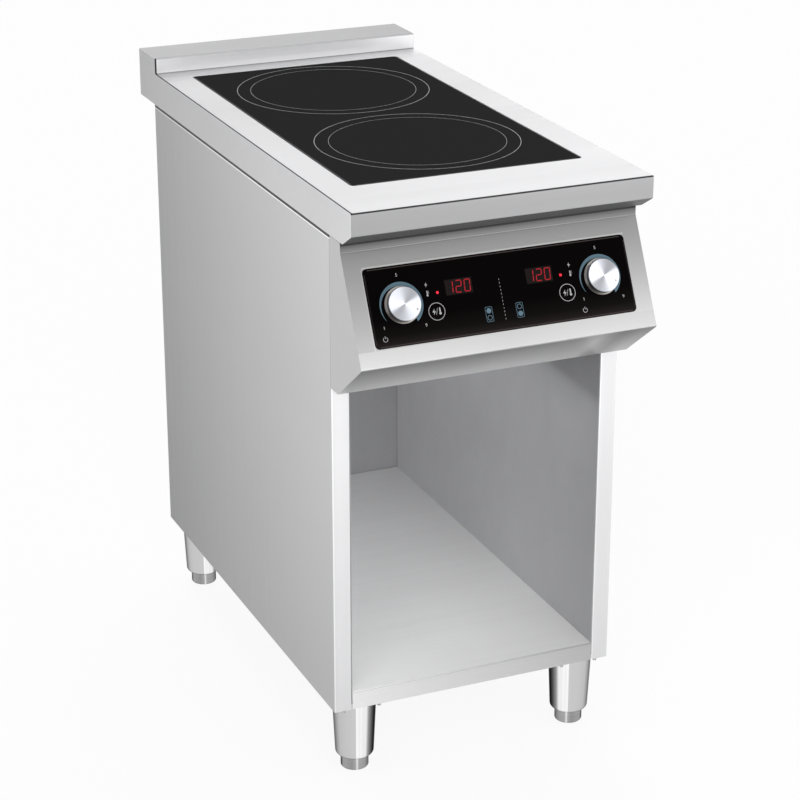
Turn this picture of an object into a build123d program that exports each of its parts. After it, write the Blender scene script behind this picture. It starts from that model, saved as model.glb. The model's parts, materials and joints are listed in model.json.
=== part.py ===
from build123d import *
from math import cos, hypot, radians, sin
import os

os.makedirs("parts", exist_ok=True)

# ======================================================================= driving dimensions, mm
# Frame: +X to the right, +Y to the rear, +Z up. The origin is on the floor, under the footprint's middle.

# ---- the module as a whole
module_width = 400.0          # standard width of one module of a range line
worktop_depth = 800.0
worktop_height = 793.0        # cooking surface above the floor with the feet screwed home
fascia_overhang = 25.0        # how far the control panel's lower edge stands ahead of the worktop
fold_radius = 2.0             # outside radius of a press-brake fold
same_point = 0.01             # two corners nearer than this are one

# ---- worktop
worktop_sheet = 1.5
nose_height = 29.0            # upright front face
nose_chamfer_drop = 16.0      # the folded-under chamfer below it
nose_chamfer_run = 27.0
nose_return = 30.0            # flat lip behind the chamfer, over the control panel's top
upstand_height = 22.5
upstand_depth = 72.0

# ---- hob glass
hob_glass_width = 311.0
hob_glass_depth = 588.0
hob_glass_thickness = 4.0
hob_glass_corner = 5.0
hob_glass_bevel = 0.8
hob_glass_front_margin = 105.0   # worktop visible ahead of the glass
seal_gap = 1.4                # joint round the glass
seal_bed = 0.8                # bed under the glass edge
seal_recess = 0.4             # the joint ends this far below the surface
seat_ledge = 12.0             # width of the ledge that the glass rests on

# ---- cabinet
panel_sheet = 1.0
panel_inset = 2.0             # outer skins stand this far inside the worktop's skirts
post_width = 25.0             # front posts: also the thickness of the double side walls
post_return = 18.0
rear_return = 16.0
top_flange = 20.0
bottom_hem = 8.0
cabinet_setback = 72.0        # front of the posts behind the worktop's nose
cabinet_rear_gap = 58.0       # rear face of the cabinet ahead of the worktop's back edge
cabinet_bottom = 101.0        # underside above the floor
shelf_lip = 25.0
back_pan_depth = 12.0
back_pan_clearance = 5.0
shelf_rear_flange = 10.0
liner_edge_reveal = 0.6       # the liner's front edge behind the post's face
wall_gap = 0.3                # general assembly gap between sheet edges

# ---- control panel
fascia_sheet = 1.2
fascia_side_inset = 2.0
fascia_top_gap = 2.0          # shadow gap under the worktop's skirt line
fascia_setback = 39.0         # top of the control panel behind the worktop's nose
fascia_brow = 13.0            # upright strip above the slope
fascia_slope_drop = 127.0
fascia_chin_drop = 56.0       # height of the chamfer below the slope
fascia_tip_lead = 22.0        # lowest edge ahead of the posts
fascia_rear_flange = 15.0
control_glass_width = 350.0
control_glass_height = 97.0
control_glass_thickness = 4.0
control_glass_corner = 6.0
control_glass_bevel = 0.8
control_glass_proud = 1.0
control_ledge = 9.0
control_seal_bed = 0.8

# ---- knobs and encoders
knob_pitch = 266.0            # centre to centre
knob_radius = 21.2
knob_height = 8.6
knob_rim_chamfer = 0.8
knob_wall = 1.6
knob_face_thickness = 2.5
knob_ring_radius = 22.8
knob_ring_height = 2.4
knob_glass_gap = 0.9
knob_boss_radius = 6.5
index_angle = 120.0           # index at rest, clockwise from the top of the dial
index_radius = 16.8
index_dot_radius = 1.2
index_dot_depth = 0.4
shaft_radius = 3.0
shaft_into_knob = 7.0
shaft_into_body = 6.0
shaft_running_gap = 0.05
encoder_side = 16.0
encoder_thickness = 7.0
bushing_radius = 4.5
seal_ring_radius = 6.0
seal_ring_flange = 1.5
seal_ring_flange_radius = 8.0

# ---- control board and what it carries
control_board_width = 318.0
control_board_height = 74.0
board_thickness = 1.6
control_board_stand_off = 10.0
spacer_radius = 3.0
spacer_pitch = 150.0
spacer_edge = 4.0
display_pitch = 107.6
display_raise = 13.0          # displays above the middle line of the glass
display_width = 37.6
display_height = 19.0
component_glass_gap = 0.4
lamp_radius = 1.5
lamp_pitch = 165.0
lamp_upper_raise = 20.0
lamp_spacing = 11.0
key_pitch = 175.0
key_drop = 13.5
key_spring_radius = 5.0
key_spring_wire = 0.8

# ---- coils
zone_front_margin = 261.0     # worktop's nose to the middle of the front zone
zone_pitch = 288.0
mica_radius = 116.0
mica_thickness = 1.0
winding_outer_radius = 112.0
winding_split_outer = 70.0
winding_split_inner = 62.0
winding_inner_radius = 24.0
winding_height = 6.0
winding_groove = 1.0
winding_groove_pitch = 8.0
carrier_radius = 115.0
carrier_thickness = 3.0
carrier_hub_radius = 14.0
sensor_radius = 9.0
ferrite_count = 8
ferrite_length = 62.0
ferrite_width = 15.0
ferrite_thickness = 4.0
ferrite_mid_radius = 66.0
coil_spring_count = 3
coil_spring_radius = 5.0
coil_spring_height = 17.0
coil_spring_circle = 104.0
coil_shield_sheet = 1.5
coil_shield_flange = 20.0
coil_shield_front_gap = 45.0
coil_shield_rear_gap = 30.0

# ---- electronics bay
bay_floor_raise = 4.0         # bay floor above the lowest edge of the control panel
bay_flange = 22.0
slot_width = 4.0
slot_pitch = 9.0
slot_rows = 7
slot_length = 90.0
bay_pitch = 176.0             # between the left and the right power module
fan_size = 92.0
fan_depth = 25.0
fan_duct_radius = 43.0
fan_tip_gap = 1.2
fan_hub_radius = 18.0
fan_hub_gap = 1.5
fan_blades = 7
fan_blade_thickness = 1.6
fan_blade_root_pitch = 52.0
fan_blade_tip_pitch = 30.0
fan_pin_radius = 2.0
fan_struts = 4
fan_strut_width = 5.0
fan_strut_depth = 3.0
fan_setback = 110.0           # fan behind the posts' face
generator_width = 150.0
generator_depth = 250.0
generator_spacer = 8.0
generator_behind_fan = 12.0
sink_width = 84.0
sink_length = 190.0
sink_base = 6.0
sink_height = 44.0
sink_fins = 9
sink_fin_thickness = 2.0
filter_width = 120.0
filter_depth = 70.0
filter_behind_boards = 22.0
choke_radius = 22.0
choke_height = 20.0
choke_hole_radius = 9.0
capacitor_width = 26.0
capacitor_depth = 12.0
capacitor_height = 22.0
terminal_width = 66.0
terminal_depth = 28.0
terminal_height = 26.0
terminal_poles = 5
terminal_screw_radius = 3.2

# ---- rear cover, gland and bonding stud
cover_sheet = 1.0
cover_side_margin = 8.0
cover_top_margin = 52.0       # below the worktop's surface
louvre_width = 110.0
louvre_pitch_x = 150.0
louvre_pitch_z = 16.0
louvre_rows = 6
louvre_height = 9.0
louvre_depth = 6.0
louvre_raise = 70.0
gland_inset = 60.0            # gland axis inside the cover's -X edge
gland_raise = 44.0
gland_bore_radius = 8.0
gland_thread_radius = 12.5
gland_hex_across_flats = 30.0
gland_nut_thickness = 6.0
gland_body_length = 12.0
gland_cap_length = 12.0
gland_cap_radius = 13.5
gland_tail = 14.0
bonding_radius = 3.0
bonding_length = 16.0
bonding_inset = 120.0         # bonding stud inside the cover's +X edge
m6_nut_across_flats = 10.0
m6_nut_thickness = 5.0

# ---- legs and feet
leg_inset = 32.0              # leg axis behind the posts' face and ahead of the cabinet's rear
leg_side_inset = 40.0         # leg axis inside the cabinet's skin
leg_top_radius = 29.5
leg_waist_radius = 25.4       # where the taper meets the rounded end
leg_end_round = 6.0
leg_mouth_radius = 19.3
leg_mouth_height = 19.0
leg_wall = 1.5
leg_flange_side = 60.0
leg_flange_thickness = 2.5
leg_flange_corner = 4.0
leg_recess = 8.0              # leg flange above the cabinet's lower edge
bracket_sheet = 2.5
bracket_flange = 14.0
foot_radius = 18.5
foot_stay = 9.5               # barrel left inside the leg's mouth when wound right out
foot_floor = 5.0
foot_round = 3.0
foot_travel = 45.0
spindle_radius = 6.0
spindle_running_gap = 0.05
spindle_tip_gap = 1.5

# ---- fasteners
bolt_radius = 2.5
bolt_head_across_flats = 8.0
bolt_head_height = 3.5
bolt_tail = 3.0
bolt_pattern = 50.0
screw_radius = 2.0
screw_head_radius = 4.0
screw_head_height = 2.0
stud_radius = 3.0
stud_length = 14.0
stud_positions = 3

# ======================================================================= derived places
half_width = module_width / 2
nose_y = fascia_overhang - (worktop_depth + fascia_overhang) / 2
back_y = nose_y + worktop_depth
skirt_z = worktop_height - nose_height - nose_chamfer_drop
upstand_z = worktop_height + upstand_height
upstand_y = back_y - upstand_depth
worktop_underside = worktop_height - worktop_sheet

glass_mid_y = nose_y + hob_glass_front_margin + hob_glass_depth / 2
seat_depth = hob_glass_thickness + seal_bed
hob_glass_underside = worktop_height - hob_glass_thickness
zone_front_y = nose_y + zone_front_margin
zone_rear_y = zone_front_y + zone_pitch

skin_x = half_width - panel_inset
skin_inner_x = skin_x - panel_sheet
liner_x = skin_x - post_width
post_y = nose_y + cabinet_setback
rear_y = back_y - cabinet_rear_gap
return_front_y = rear_y - panel_sheet
shelf_z = cabinet_bottom + shelf_lip
back_pan_y = return_front_y - back_pan_depth

fascia_x = half_width - fascia_side_inset
fascia_top = skirt_z - fascia_top_gap
slope_top = fascia_top - fascia_brow
slope_bottom = slope_top - fascia_slope_drop
fascia_bottom = slope_bottom - fascia_chin_drop
fascia_top_y = nose_y + fascia_setback
fascia_front_y = nose_y - fascia_overhang
fascia_tip_y = post_y - fascia_tip_lead
slope_run = fascia_top_y - fascia_front_y
slope_length = hypot(slope_run, fascia_slope_drop)
slope_plane = Plane(
    origin=(0, (fascia_top_y + fascia_front_y) / 2, (slope_top + slope_bottom) / 2),
    x_dir=(1, 0, 0),
    z_dir=(0, -fascia_slope_drop / slope_length, slope_run / slope_length),
)
glass_back = control_glass_proud - control_glass_thickness
ledge_front = glass_back - control_seal_bed
ledge_back = ledge_front - fascia_sheet
board_front = ledge_back - control_board_stand_off

bay_z = fascia_bottom + bay_floor_raise
bay_top = bay_z + panel_sheet
fan_y = post_y + fan_setback
fan_axis_z = bay_top + fan_size / 2
generator_y = fan_y + fan_depth / 2 + generator_behind_fan + generator_depth / 2
generator_z = bay_top + generator_spacer
sink_z = generator_z + board_thickness
filter_y = generator_y + generator_depth / 2 + filter_behind_boards + filter_depth / 2

cover_x = skin_x - cover_side_margin
cover_low = bay_z
cover_high = worktop_height - cover_top_margin
gland_x = gland_inset - cover_x
bonding_x = cover_x - bonding_inset
gland_z = bay_top + gland_raise

mica_z = hob_glass_underside - mica_thickness
winding_z = mica_z - winding_height
carrier_z = winding_z - carrier_thickness
shield_z = carrier_z - coil_spring_height

leg_x = skin_x - leg_side_inset
leg_front_y = post_y + leg_inset
leg_rear_y = rear_y - leg_inset
leg_flange_z = cabinet_bottom + leg_recess
foot_height = leg_mouth_height + foot_stay + foot_travel
bracket_z = leg_flange_z + leg_flange_thickness
wall_low = bracket_z + bracket_sheet + wall_gap
corners = {
    "front_left": (-leg_x, leg_front_y),
    "front_right": (leg_x, leg_front_y),
    "rear_left": (-leg_x, leg_rear_y),
    "rear_right": (leg_x, leg_rear_y),
}
sides = {"left": -1, "right": 1}


# ======================================================================= helpers
def block(width, depth, height, x=0, y=0, z=0):
    """A rectangular piece, centred in X and Y, standing on z."""
    return Pos(x, y, z) * extrude(Rectangle(width, depth), height)


def span(x0, x1, y0, y1, z0, z1):
    """A rectangular piece between two corners."""
    return block(x1 - x0, y1 - y0, z1 - z0, (x0 + x1) / 2, (y0 + y1) / 2, z0)


def rod(radius, height, x=0, y=0, z=0):
    """A round piece standing on z."""
    return Pos(x, y, z) * extrude(Circle(radius), height)


def hexagon(across_flats, height, x=0, y=0, z=0):
    """A hexagonal nut or screw head standing on z."""
    return Pos(x, y, z) * extrude(RegularPolygon(across_flats / 2, 6, major_radius=False), height)


def folded_section(points, sheet, bend=fold_radius, side=Side.LEFT):
    """Cross-section of a folded sheet whose outer face follows the points."""
    path = FilletPolyline(*points, radius=bend)
    return make_face(offset(path, amount=sheet, side=side).edges())


def profile(points, bend=0.0, sharp=()):
    """A closed outline in the Y-Z plane, its corners rounded except those listed as sharp."""
    face = make_face(Polyline(*points, close=True))
    if bend > 0:
        keep = [Vector(*points[i]) for i in sharp]
        soft = [v for v in face.vertices() if all((Vector(v) - k).length > same_point for k in keep)]
        face = fillet(soft, bend)
    return face


def along_x(face, half):
    """Extrude a Y-Z outline to both sides of the middle plane."""
    return extrude(Plane.YZ * face, half, both=True)


def rounded_slab(width, depth, corner, height):
    """A plate with rounded corners, standing on the local plane."""
    return extrude(RectangleRounded(width, depth, corner), height)


def mirrored(part, side):
    """The right-hand piece, or its mirror image for the left."""
    return part if side > 0 else mirror(part, about=Plane.YZ)


def on_slope(part, x=0, up=0, out=0):
    """Place a piece on the control panel: x across, up the slope, and out of it."""
    return slope_plane * Pos(x, up, out) * part


def round_corner(face, corner, radius):
    """Round the one corner of a flat outline that lies at the given point."""
    return fillet([v for v in face.vertices() if (Vector(v) - Vector(*corner)).length < same_point], radius)


def turned(outline, axis=Axis.Z):
    """A turned piece from a half outline in the X-Z plane."""
    return revolve(Plane.XZ * make_face(Polyline(*outline, close=True)), axis)


# ======================================================================= worktop and hob glass
def worktop():
    """Folded stainless top: nose, chamfer, skirts, hollow upstand and recessed seat for the glass."""
    outline = [
        (back_y, skirt_z),
        (back_y, upstand_z),
        (upstand_y, upstand_z),
        (upstand_y, worktop_height),
        (nose_y, worktop_height),
        (nose_y, worktop_height - nose_height),
        (nose_y + nose_chamfer_run, skirt_z),
    ]
    outer = profile(outline, fold_radius, sharp=(0, 6))
    inner = offset(outer, -worktop_sheet, kind=Kind.INTERSECTION)
    shell = along_x(outer, half_width) - along_x(inner, half_width - worktop_sheet)
    mouth_front = nose_y + nose_chamfer_run + nose_return
    inside = half_width - worktop_sheet
    below_seat = worktop_underside - seat_depth
    shell -= span(-inside, inside, mouth_front, back_y - worktop_sheet, skirt_z, below_seat)
    edge_round = worktop_sheet / 2
    long_edges = [
        edge
        for edge in shell.edges().filter_by(Axis.Y)
        if abs(abs(edge.center().X) - half_width) < edge_round
        and edge.center().Z > worktop_height - fold_radius
    ]
    shell = fillet(long_edges, edge_round)
    pocket_w = hob_glass_width + 2 * seal_gap
    pocket_d = hob_glass_depth + 2 * seal_gap
    pocket_r = hob_glass_corner + seal_gap
    opening_w = pocket_w - 2 * seat_ledge
    opening_d = pocket_d - 2 * seat_ledge
    place = Pos(0, glass_mid_y, worktop_height - seat_depth)
    below = Pos(0, glass_mid_y, worktop_height - seat_depth - worktop_sheet)
    wall = 2 * worktop_sheet
    seat = below * rounded_slab(pocket_w + wall, pocket_d + wall, pocket_r + worktop_sheet, seat_depth)
    pocket = place * rounded_slab(pocket_w, pocket_d, pocket_r, seat_depth + worktop_sheet)
    opening = below * rounded_slab(opening_w, opening_d, pocket_r, seat_depth)
    return shell + seat - pocket - opening


def hob_glass():
    """Ceramic-glass plate, flush with the worktop, its upper edge bevelled."""
    plate = rounded_slab(hob_glass_width, hob_glass_depth, hob_glass_corner, hob_glass_thickness)
    plate = chamfer(plate.faces().sort_by(Axis.Z)[-1].edges(), hob_glass_bevel)
    return Pos(0, glass_mid_y, hob_glass_underside) * plate


def hob_seal():
    """Silicone: the bed on the ledge and the joint round the edge of the glass."""
    outer_w = hob_glass_width + 2 * seal_gap
    outer_d = hob_glass_depth + 2 * seal_gap
    corner = hob_glass_corner + seal_gap
    height = seat_depth - seal_recess
    ring = rounded_slab(outer_w, outer_d, corner, height)
    bed_opening = rounded_slab(outer_w - 2 * seat_ledge, outer_d - 2 * seat_ledge, corner, height)
    glass = Pos(0, 0, seal_bed) * rounded_slab(hob_glass_width, hob_glass_depth, hob_glass_corner, height)
    return Pos(0, glass_mid_y, worktop_height - seat_depth) * (ring - bed_opening - glass)


def worktop_studs():
    """Studs welded under the worktop, with nuts under the side panels' top flanges."""
    studs = []
    reach = (rear_y - post_y) / stud_positions
    flange_z = worktop_underside - panel_sheet
    for side in sides.values():
        for n in range(stud_positions):
            x = side * (skin_inner_x - top_flange / 2)
            y = post_y + reach * (n + 0.5)
            stud = rod(stud_radius, stud_length, x, y, worktop_underside - stud_length)
            nut = hexagon(m6_nut_across_flats, m6_nut_thickness, x, y, flange_z - m6_nut_thickness)
            studs.append(stud + nut)
    return studs


# ======================================================================= cabinet
def side_panel(side):
    """Outer skin folded round the front post, with rear return, top flange and bottom hem."""
    plan = [
        (liner_x + panel_sheet, post_y + post_return),
        (liner_x + panel_sheet, post_y),
        (skin_x, post_y),
        (skin_x, rear_y),
        (skin_x - rear_return, rear_y),
    ]
    height = worktop_underside - cabinet_bottom
    skin = Pos(0, 0, cabinet_bottom) * extrude(folded_section(plan, panel_sheet), height)
    top_z = worktop_underside - panel_sheet
    hem_top = cabinet_bottom + panel_sheet
    inner = skin_inner_x
    behind_post = post_y + post_return
    skin += span(inner - top_flange, inner, behind_post, return_front_y, top_z, worktop_underside)
    skin += span(inner - bottom_hem, inner, behind_post, return_front_y, cabinet_bottom, hem_top)
    for n in range(stud_positions):
        y = post_y + (rear_y - post_y) / stud_positions * (n + 0.5)
        skin -= rod(stud_radius, 2 * panel_sheet, inner - top_flange / 2, y, top_z - panel_sheet / 2)
    notch_x = skin_x - 2 * fold_radius
    notch_front = post_y + panel_sheet
    notch_rear = behind_post + post_return
    skin -= span(liner_x, notch_x, notch_front, notch_rear, hem_top, wall_low)
    skin -= span(liner_x, notch_x - bottom_hem, notch_front, notch_rear, cabinet_bottom, wall_low)
    return mirrored(skin, side)


def liner(side):
    """Inner wall of the compartment, lapped on the post and folded outwards at the rear."""
    plan = [
        (liner_x, post_y + liner_edge_reveal),
        (liner_x, back_pan_y),
        (skin_inner_x - back_pan_clearance, back_pan_y),
    ]
    section = folded_section(plan, panel_sheet, side=Side.RIGHT)
    return mirrored(Pos(0, 0, wall_low) * extrude(section, bay_z - wall_low), side)


def compartment_back():
    """Rear wall of the compartment: a shallow pan, its flanges turned to the rear."""
    reach = skin_inner_x - back_pan_clearance
    plan = [
        (-reach, return_front_y),
        (-reach, back_pan_y),
        (reach, back_pan_y),
        (reach, return_front_y),
    ]
    section = folded_section(plan, panel_sheet)
    return Pos(0, 0, wall_low) * extrude(section, bay_z - wall_low)


def bottom_shelf():
    """Compartment floor: a pan with a deep front lip and a down-turned rear flange."""
    side_view = [
        (post_y, cabinet_bottom),
        (post_y, shelf_z),
        (back_pan_y, shelf_z),
        (back_pan_y, shelf_z - shelf_rear_flange),
    ]
    return along_x(folded_section(side_view, panel_sheet, side=Side.RIGHT), liner_x)


def bay_floor():
    """Tray under the electronics, notched round the posts, with the air inlet slots ahead of the fans."""
    step_y = post_y + post_return + wall_gap
    wide = Pos(0, (step_y + return_front_y) / 2) * Rectangle(2 * skin_inner_x, return_front_y - step_y)
    narrow = Pos(0, (post_y + step_y) / 2) * Rectangle(2 * liner_x, step_y - post_y)
    outline = wide + narrow
    outline = fillet(outline.vertices().group_by(Axis.Y)[-1], fold_radius)
    inside = offset(outline, -panel_sheet, kind=Kind.INTERSECTION)
    tray = extrude(outline, bay_flange) - Pos(0, 0, panel_sheet) * extrude(inside, bay_flange)
    tray = Pos(0, 0, bay_z) * tray
    slots_y = (step_y + fan_y - fan_depth / 2) / 2
    for side in sides.values():
        for row in range(slot_rows):
            y = slots_y + (row - (slot_rows - 1) / 2) * slot_pitch
            slot = extrude(SlotOverall(slot_length, slot_width), 3 * panel_sheet)
            tray -= Pos(side * bay_pitch / 2, y, bay_z - panel_sheet) * slot
    return tray


# ======================================================================= legs and feet
def leg(x, y):
    """Tapered stainless tube with a square top flange, closing in to the mouth where the foot comes out."""
    top = leg_flange_z
    wall = leg_wall
    outline = [
        (leg_mouth_radius, leg_mouth_height),
        (leg_waist_radius, leg_mouth_height),
        (leg_top_radius, top),
        (leg_top_radius - wall, top),
        (leg_waist_radius - wall, leg_mouth_height + wall),
        (leg_mouth_radius, leg_mouth_height + wall),
    ]
    half_section = make_face(Polyline(*outline, close=True))
    half_section = round_corner(half_section, outline[1], leg_end_round)
    half_section = round_corner(half_section, outline[4], leg_end_round - wall)
    tube = revolve(Plane.XZ * half_section, Axis.Z)
    flange = rounded_slab(leg_flange_side, leg_flange_side, leg_flange_corner, leg_flange_thickness)
    spindle_low = foot_floor + spindle_tip_gap
    spindle = rod(spindle_radius, top - spindle_low, z=spindle_low)
    whole = tube + Pos(0, 0, top) * flange + spindle
    half = bolt_pattern / 2
    for dx in (-half, half):
        for dy in (-half, half):
            whole -= rod(bolt_radius, 2 * leg_flange_thickness, dx, dy, top - leg_flange_thickness / 2)
    return Pos(x, y, 0) * whole


def foot(x, y):
    """Levelling foot: a thick barrel, blind-bored for the spindle, rounded where it stands."""
    barrel = rod(foot_radius, foot_height)
    barrel = fillet(barrel.faces().sort_by(Axis.Z)[0].edges(), foot_round)
    barrel -= rod(spindle_radius + spindle_running_gap, foot_height, z=foot_floor)
    return Pos(x, y, 0) * barrel


def leg_brackets():
    """Corner plates above the leg flanges, each with a flange up the side panel's inner face."""
    brackets = []
    half = leg_flange_side / 2
    for x, y in corners.values():
        side = 1 if x > 0 else -1
        section = [
            (leg_x - half, bracket_z),
            (skin_inner_x, bracket_z),
            (skin_inner_x, bracket_z + bracket_flange),
        ]
        plate = folded_section(section, bracket_sheet, bend=fold_radius + bracket_sheet)
        bent = Pos(0, y, 0) * extrude(Plane.XZ * plate, half, both=True)
        for dx in (-bolt_pattern / 2, bolt_pattern / 2):
            for dy in (-bolt_pattern / 2, bolt_pattern / 2):
                bent -= rod(bolt_radius, 3 * bracket_sheet, leg_x + dx, y + dy, bracket_z - bracket_sheet)
        brackets.append(mirrored(bent, side))
    return brackets


def leg_bolts():
    """Hexagon-head screws through the leg flanges into the corner plates."""
    bolts = []
    reach = bolt_pattern / 2
    grip = leg_flange_thickness + bracket_sheet + bolt_tail
    for x, y in corners.values():
        for dx in (-reach, reach):
            for dy in (-reach, reach):
                head = hexagon(bolt_head_across_flats, bolt_head_height, z=-bolt_head_height)
                bolts.append(Pos(x + dx, y + dy, leg_flange_z) * (head + rod(bolt_radius, grip)))
    return bolts


# ======================================================================= control panel
def control_fascia():
    """Folded control panel with closed ends, rear flanges and a recessed seat for its glass."""
    outline = [
        (post_y, fascia_top),
        (fascia_top_y, fascia_top),
        (fascia_top_y, slope_top),
        (fascia_front_y, slope_bottom),
        (fascia_tip_y, fascia_bottom),
        (post_y, fascia_bottom),
    ]
    outer = profile(outline, fold_radius, sharp=(0, 5))
    inner = offset(outer, -fascia_sheet, kind=Kind.INTERSECTION)
    shell = along_x(outer, fascia_x) - along_x(inner, fascia_x - fascia_sheet)
    window_x = fascia_x - fascia_rear_flange
    shell -= span(
        -window_x, window_x, post_y - 2 * fascia_sheet, post_y + fascia_sheet,
        fascia_bottom + fascia_rear_flange, fascia_top - fascia_rear_flange,
    )
    wall = 2 * fascia_sheet
    opening_w = control_glass_width - 2 * control_ledge
    opening_h = control_glass_height - 2 * control_ledge
    gap = 2 * wall_gap
    corner = control_glass_corner
    pocket_w = control_glass_width + gap
    pocket_h = control_glass_height + gap
    seat = rounded_slab(pocket_w + wall, pocket_h + wall, corner + fascia_sheet, -ledge_back)
    pocket = rounded_slab(pocket_w, pocket_h, corner, fascia_sheet - ledge_front)
    opening = rounded_slab(opening_w, opening_h, corner, wall - ledge_back)
    shell += on_slope(seat, out=ledge_back)
    shell -= on_slope(pocket, out=ledge_front)
    shell -= on_slope(opening, out=ledge_back - fascia_sheet)
    for x, z in fascia_screw_places():
        hole = Pos(x, post_y, z) * Rot(90, 0, 0) * rod(screw_radius, 3 * fascia_sheet, z=-fascia_sheet)
        shell -= hole
    return shell


def fascia_screw_places():
    """Screw positions on the control panel's rear flanges, in X and Z."""
    x = fascia_x - fascia_rear_flange / 2
    low = fascia_bottom + 2 * fascia_rear_flange
    high = fascia_top - 2 * fascia_rear_flange
    return [(side * x, z) for side in sides.values() for z in (low, high)]


def control_glass():
    """Gloss black glass of the controls, with holes for the two shafts."""
    thickness = control_glass_thickness
    plate = rounded_slab(control_glass_width, control_glass_height, control_glass_corner, thickness)
    plate = chamfer(plate.faces().sort_by(Axis.Z)[-1].edges(), control_glass_bevel)
    for side in sides.values():
        plate -= rod(seal_ring_radius, thickness, x=side * knob_pitch / 2)
    return on_slope(plate, out=glass_back)


def control_seal():
    """Bed of the control glass on its ledge."""
    ring = rounded_slab(control_glass_width, control_glass_height, control_glass_corner, control_seal_bed)
    inside_w = control_glass_width - 2 * control_ledge
    inside_h = control_glass_height - 2 * control_ledge
    ring -= rounded_slab(inside_w, inside_h, control_glass_corner, control_seal_bed)
    return on_slope(ring, out=ledge_front)


def knob_cap(side):
    """Turned aluminium cap, hollow from behind, with an index dimple near its rim."""
    foot_out = knob_ring_height
    inner = knob_radius - knob_wall
    top = knob_ring_height + knob_height
    outline = [
        (0, top),
        (knob_radius - knob_rim_chamfer, top),
        (knob_radius, top - knob_rim_chamfer),
        (knob_radius, foot_out),
        (inner, foot_out),
        (inner, top - knob_face_thickness),
        (0, top - knob_face_thickness),
    ]
    cap = turned(outline)
    turn = radians(index_angle)
    dot_x = index_radius * sin(turn)
    dot_y = index_radius * cos(turn)
    cap -= rod(index_dot_radius, 2 * index_dot_depth, dot_x, dot_y, top - index_dot_depth)
    return on_slope(cap, side * knob_pitch / 2, 0, control_glass_proud + knob_glass_gap)


def knob_core(side):
    """Plated plastic core: the ring at the foot of the knob, a plug inside the cap and the boss."""
    inner = knob_radius - knob_wall
    plug_top = knob_ring_height + knob_height - knob_face_thickness
    outline = [
        (shaft_radius, 0),
        (knob_ring_radius, 0),
        (knob_ring_radius, knob_ring_height),
        (inner, knob_ring_height),
        (inner, 2 * knob_ring_height),
        (knob_boss_radius, 2 * knob_ring_height),
        (knob_boss_radius, plug_top),
        (0, plug_top),
        (0, shaft_into_knob),
        (shaft_radius, shaft_into_knob),
    ]
    core = turned(outline)
    return on_slope(core, side * knob_pitch / 2, 0, control_glass_proud + knob_glass_gap)


def encoder_shaft(side):
    """Steel shaft from inside the encoder to inside the knob."""
    low = board_front + encoder_thickness - shaft_into_body
    high = control_glass_proud + knob_glass_gap + shaft_into_knob
    return on_slope(rod(shaft_radius, high - low), side * knob_pitch / 2, 0, low)


def encoder_bodies():
    """Rotary encoders on the control board, each with a threaded bushing for its shaft."""
    bodies = []
    reach = glass_back - seal_ring_flange - board_front
    bore_floor = encoder_thickness - shaft_into_body - shaft_running_gap
    for side in sides.values():
        body = block(encoder_side, encoder_side, encoder_thickness)
        body += rod(bushing_radius, reach)
        body -= rod(shaft_radius + shaft_running_gap, reach, z=bore_floor)
        bodies.append(on_slope(body, side * knob_pitch / 2, 0, board_front))
    return bodies


def shaft_seals():
    """Rubber lip seals that fill the glass holes round the shafts."""
    rings = []
    bore = shaft_radius + shaft_running_gap
    for side in sides.values():
        ring = rod(seal_ring_radius, control_glass_thickness, z=glass_back)
        ring += rod(seal_ring_flange_radius, seal_ring_flange, z=glass_back - seal_ring_flange)
        ring -= rod(bore, control_glass_thickness + seal_ring_flange, z=glass_back - seal_ring_flange)
        rings.append(on_slope(ring, side * knob_pitch / 2))
    return rings


def control_board():
    """Circuit board behind the control glass."""
    board = rounded_slab(control_board_width, control_board_height, fold_radius, board_thickness)
    return on_slope(board, out=board_front - board_thickness)


def board_spacers():
    """Spacers between the seat ledge and the control board."""
    spacers = []
    edge = control_glass_height / 2 - control_ledge + spacer_edge
    for x in (-spacer_pitch, 0, spacer_pitch):
        for up in (-edge, edge):
            tube = rod(spacer_radius, ledge_back - board_front)
            spacers.append(on_slope(tube, x, up, board_front))
    return spacers


def display_modules():
    """Two three-digit displays on the board, close behind the glass."""
    height = glass_back - component_glass_gap - board_front
    modules = []
    for side in sides.values():
        module = block(display_width, display_height, height)
        modules.append(on_slope(module, side * display_pitch / 2, display_raise, board_front))
    return modules


def indicator_lamps():
    """Mode lamps: an upper and a lower one beside each display."""
    height = glass_back - component_glass_gap - board_front
    lamps = []
    for side in sides.values():
        for n in range(2):
            up = lamp_upper_raise - n * lamp_spacing
            lamp = rod(lamp_radius, height)
            lamps.append(on_slope(lamp, side * lamp_pitch / 2, up, board_front))
    return lamps


def touch_springs():
    """Contact springs of the touch keys, drawn as the tube that their turns fill."""
    springs = []
    height = glass_back - board_front
    for side in sides.values():
        tube = rod(key_spring_radius, height) - rod(key_spring_radius - key_spring_wire, height)
        springs.append(on_slope(tube, side * key_pitch / 2, -key_drop, board_front))
    return springs


# ======================================================================= coils
def coil(y):
    """Flat litz winding in two bands, its turns marked by ring grooves on the underside."""
    bands = [(winding_inner_radius, winding_split_inner), (winding_split_outer, winding_outer_radius)]
    winding = None
    for low, high in bands:
        band = rod(high, winding_height) - rod(low, winding_height)
        turns = int((high - low) / winding_groove_pitch)
        for n in range(1, turns):
            radius = low + n * winding_groove_pitch
            groove = rod(radius + winding_groove / 2, winding_groove)
            band -= groove - rod(radius - winding_groove / 2, winding_groove)
        winding = band if winding is None else winding + band
    return Pos(0, y, winding_z) * winding


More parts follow.
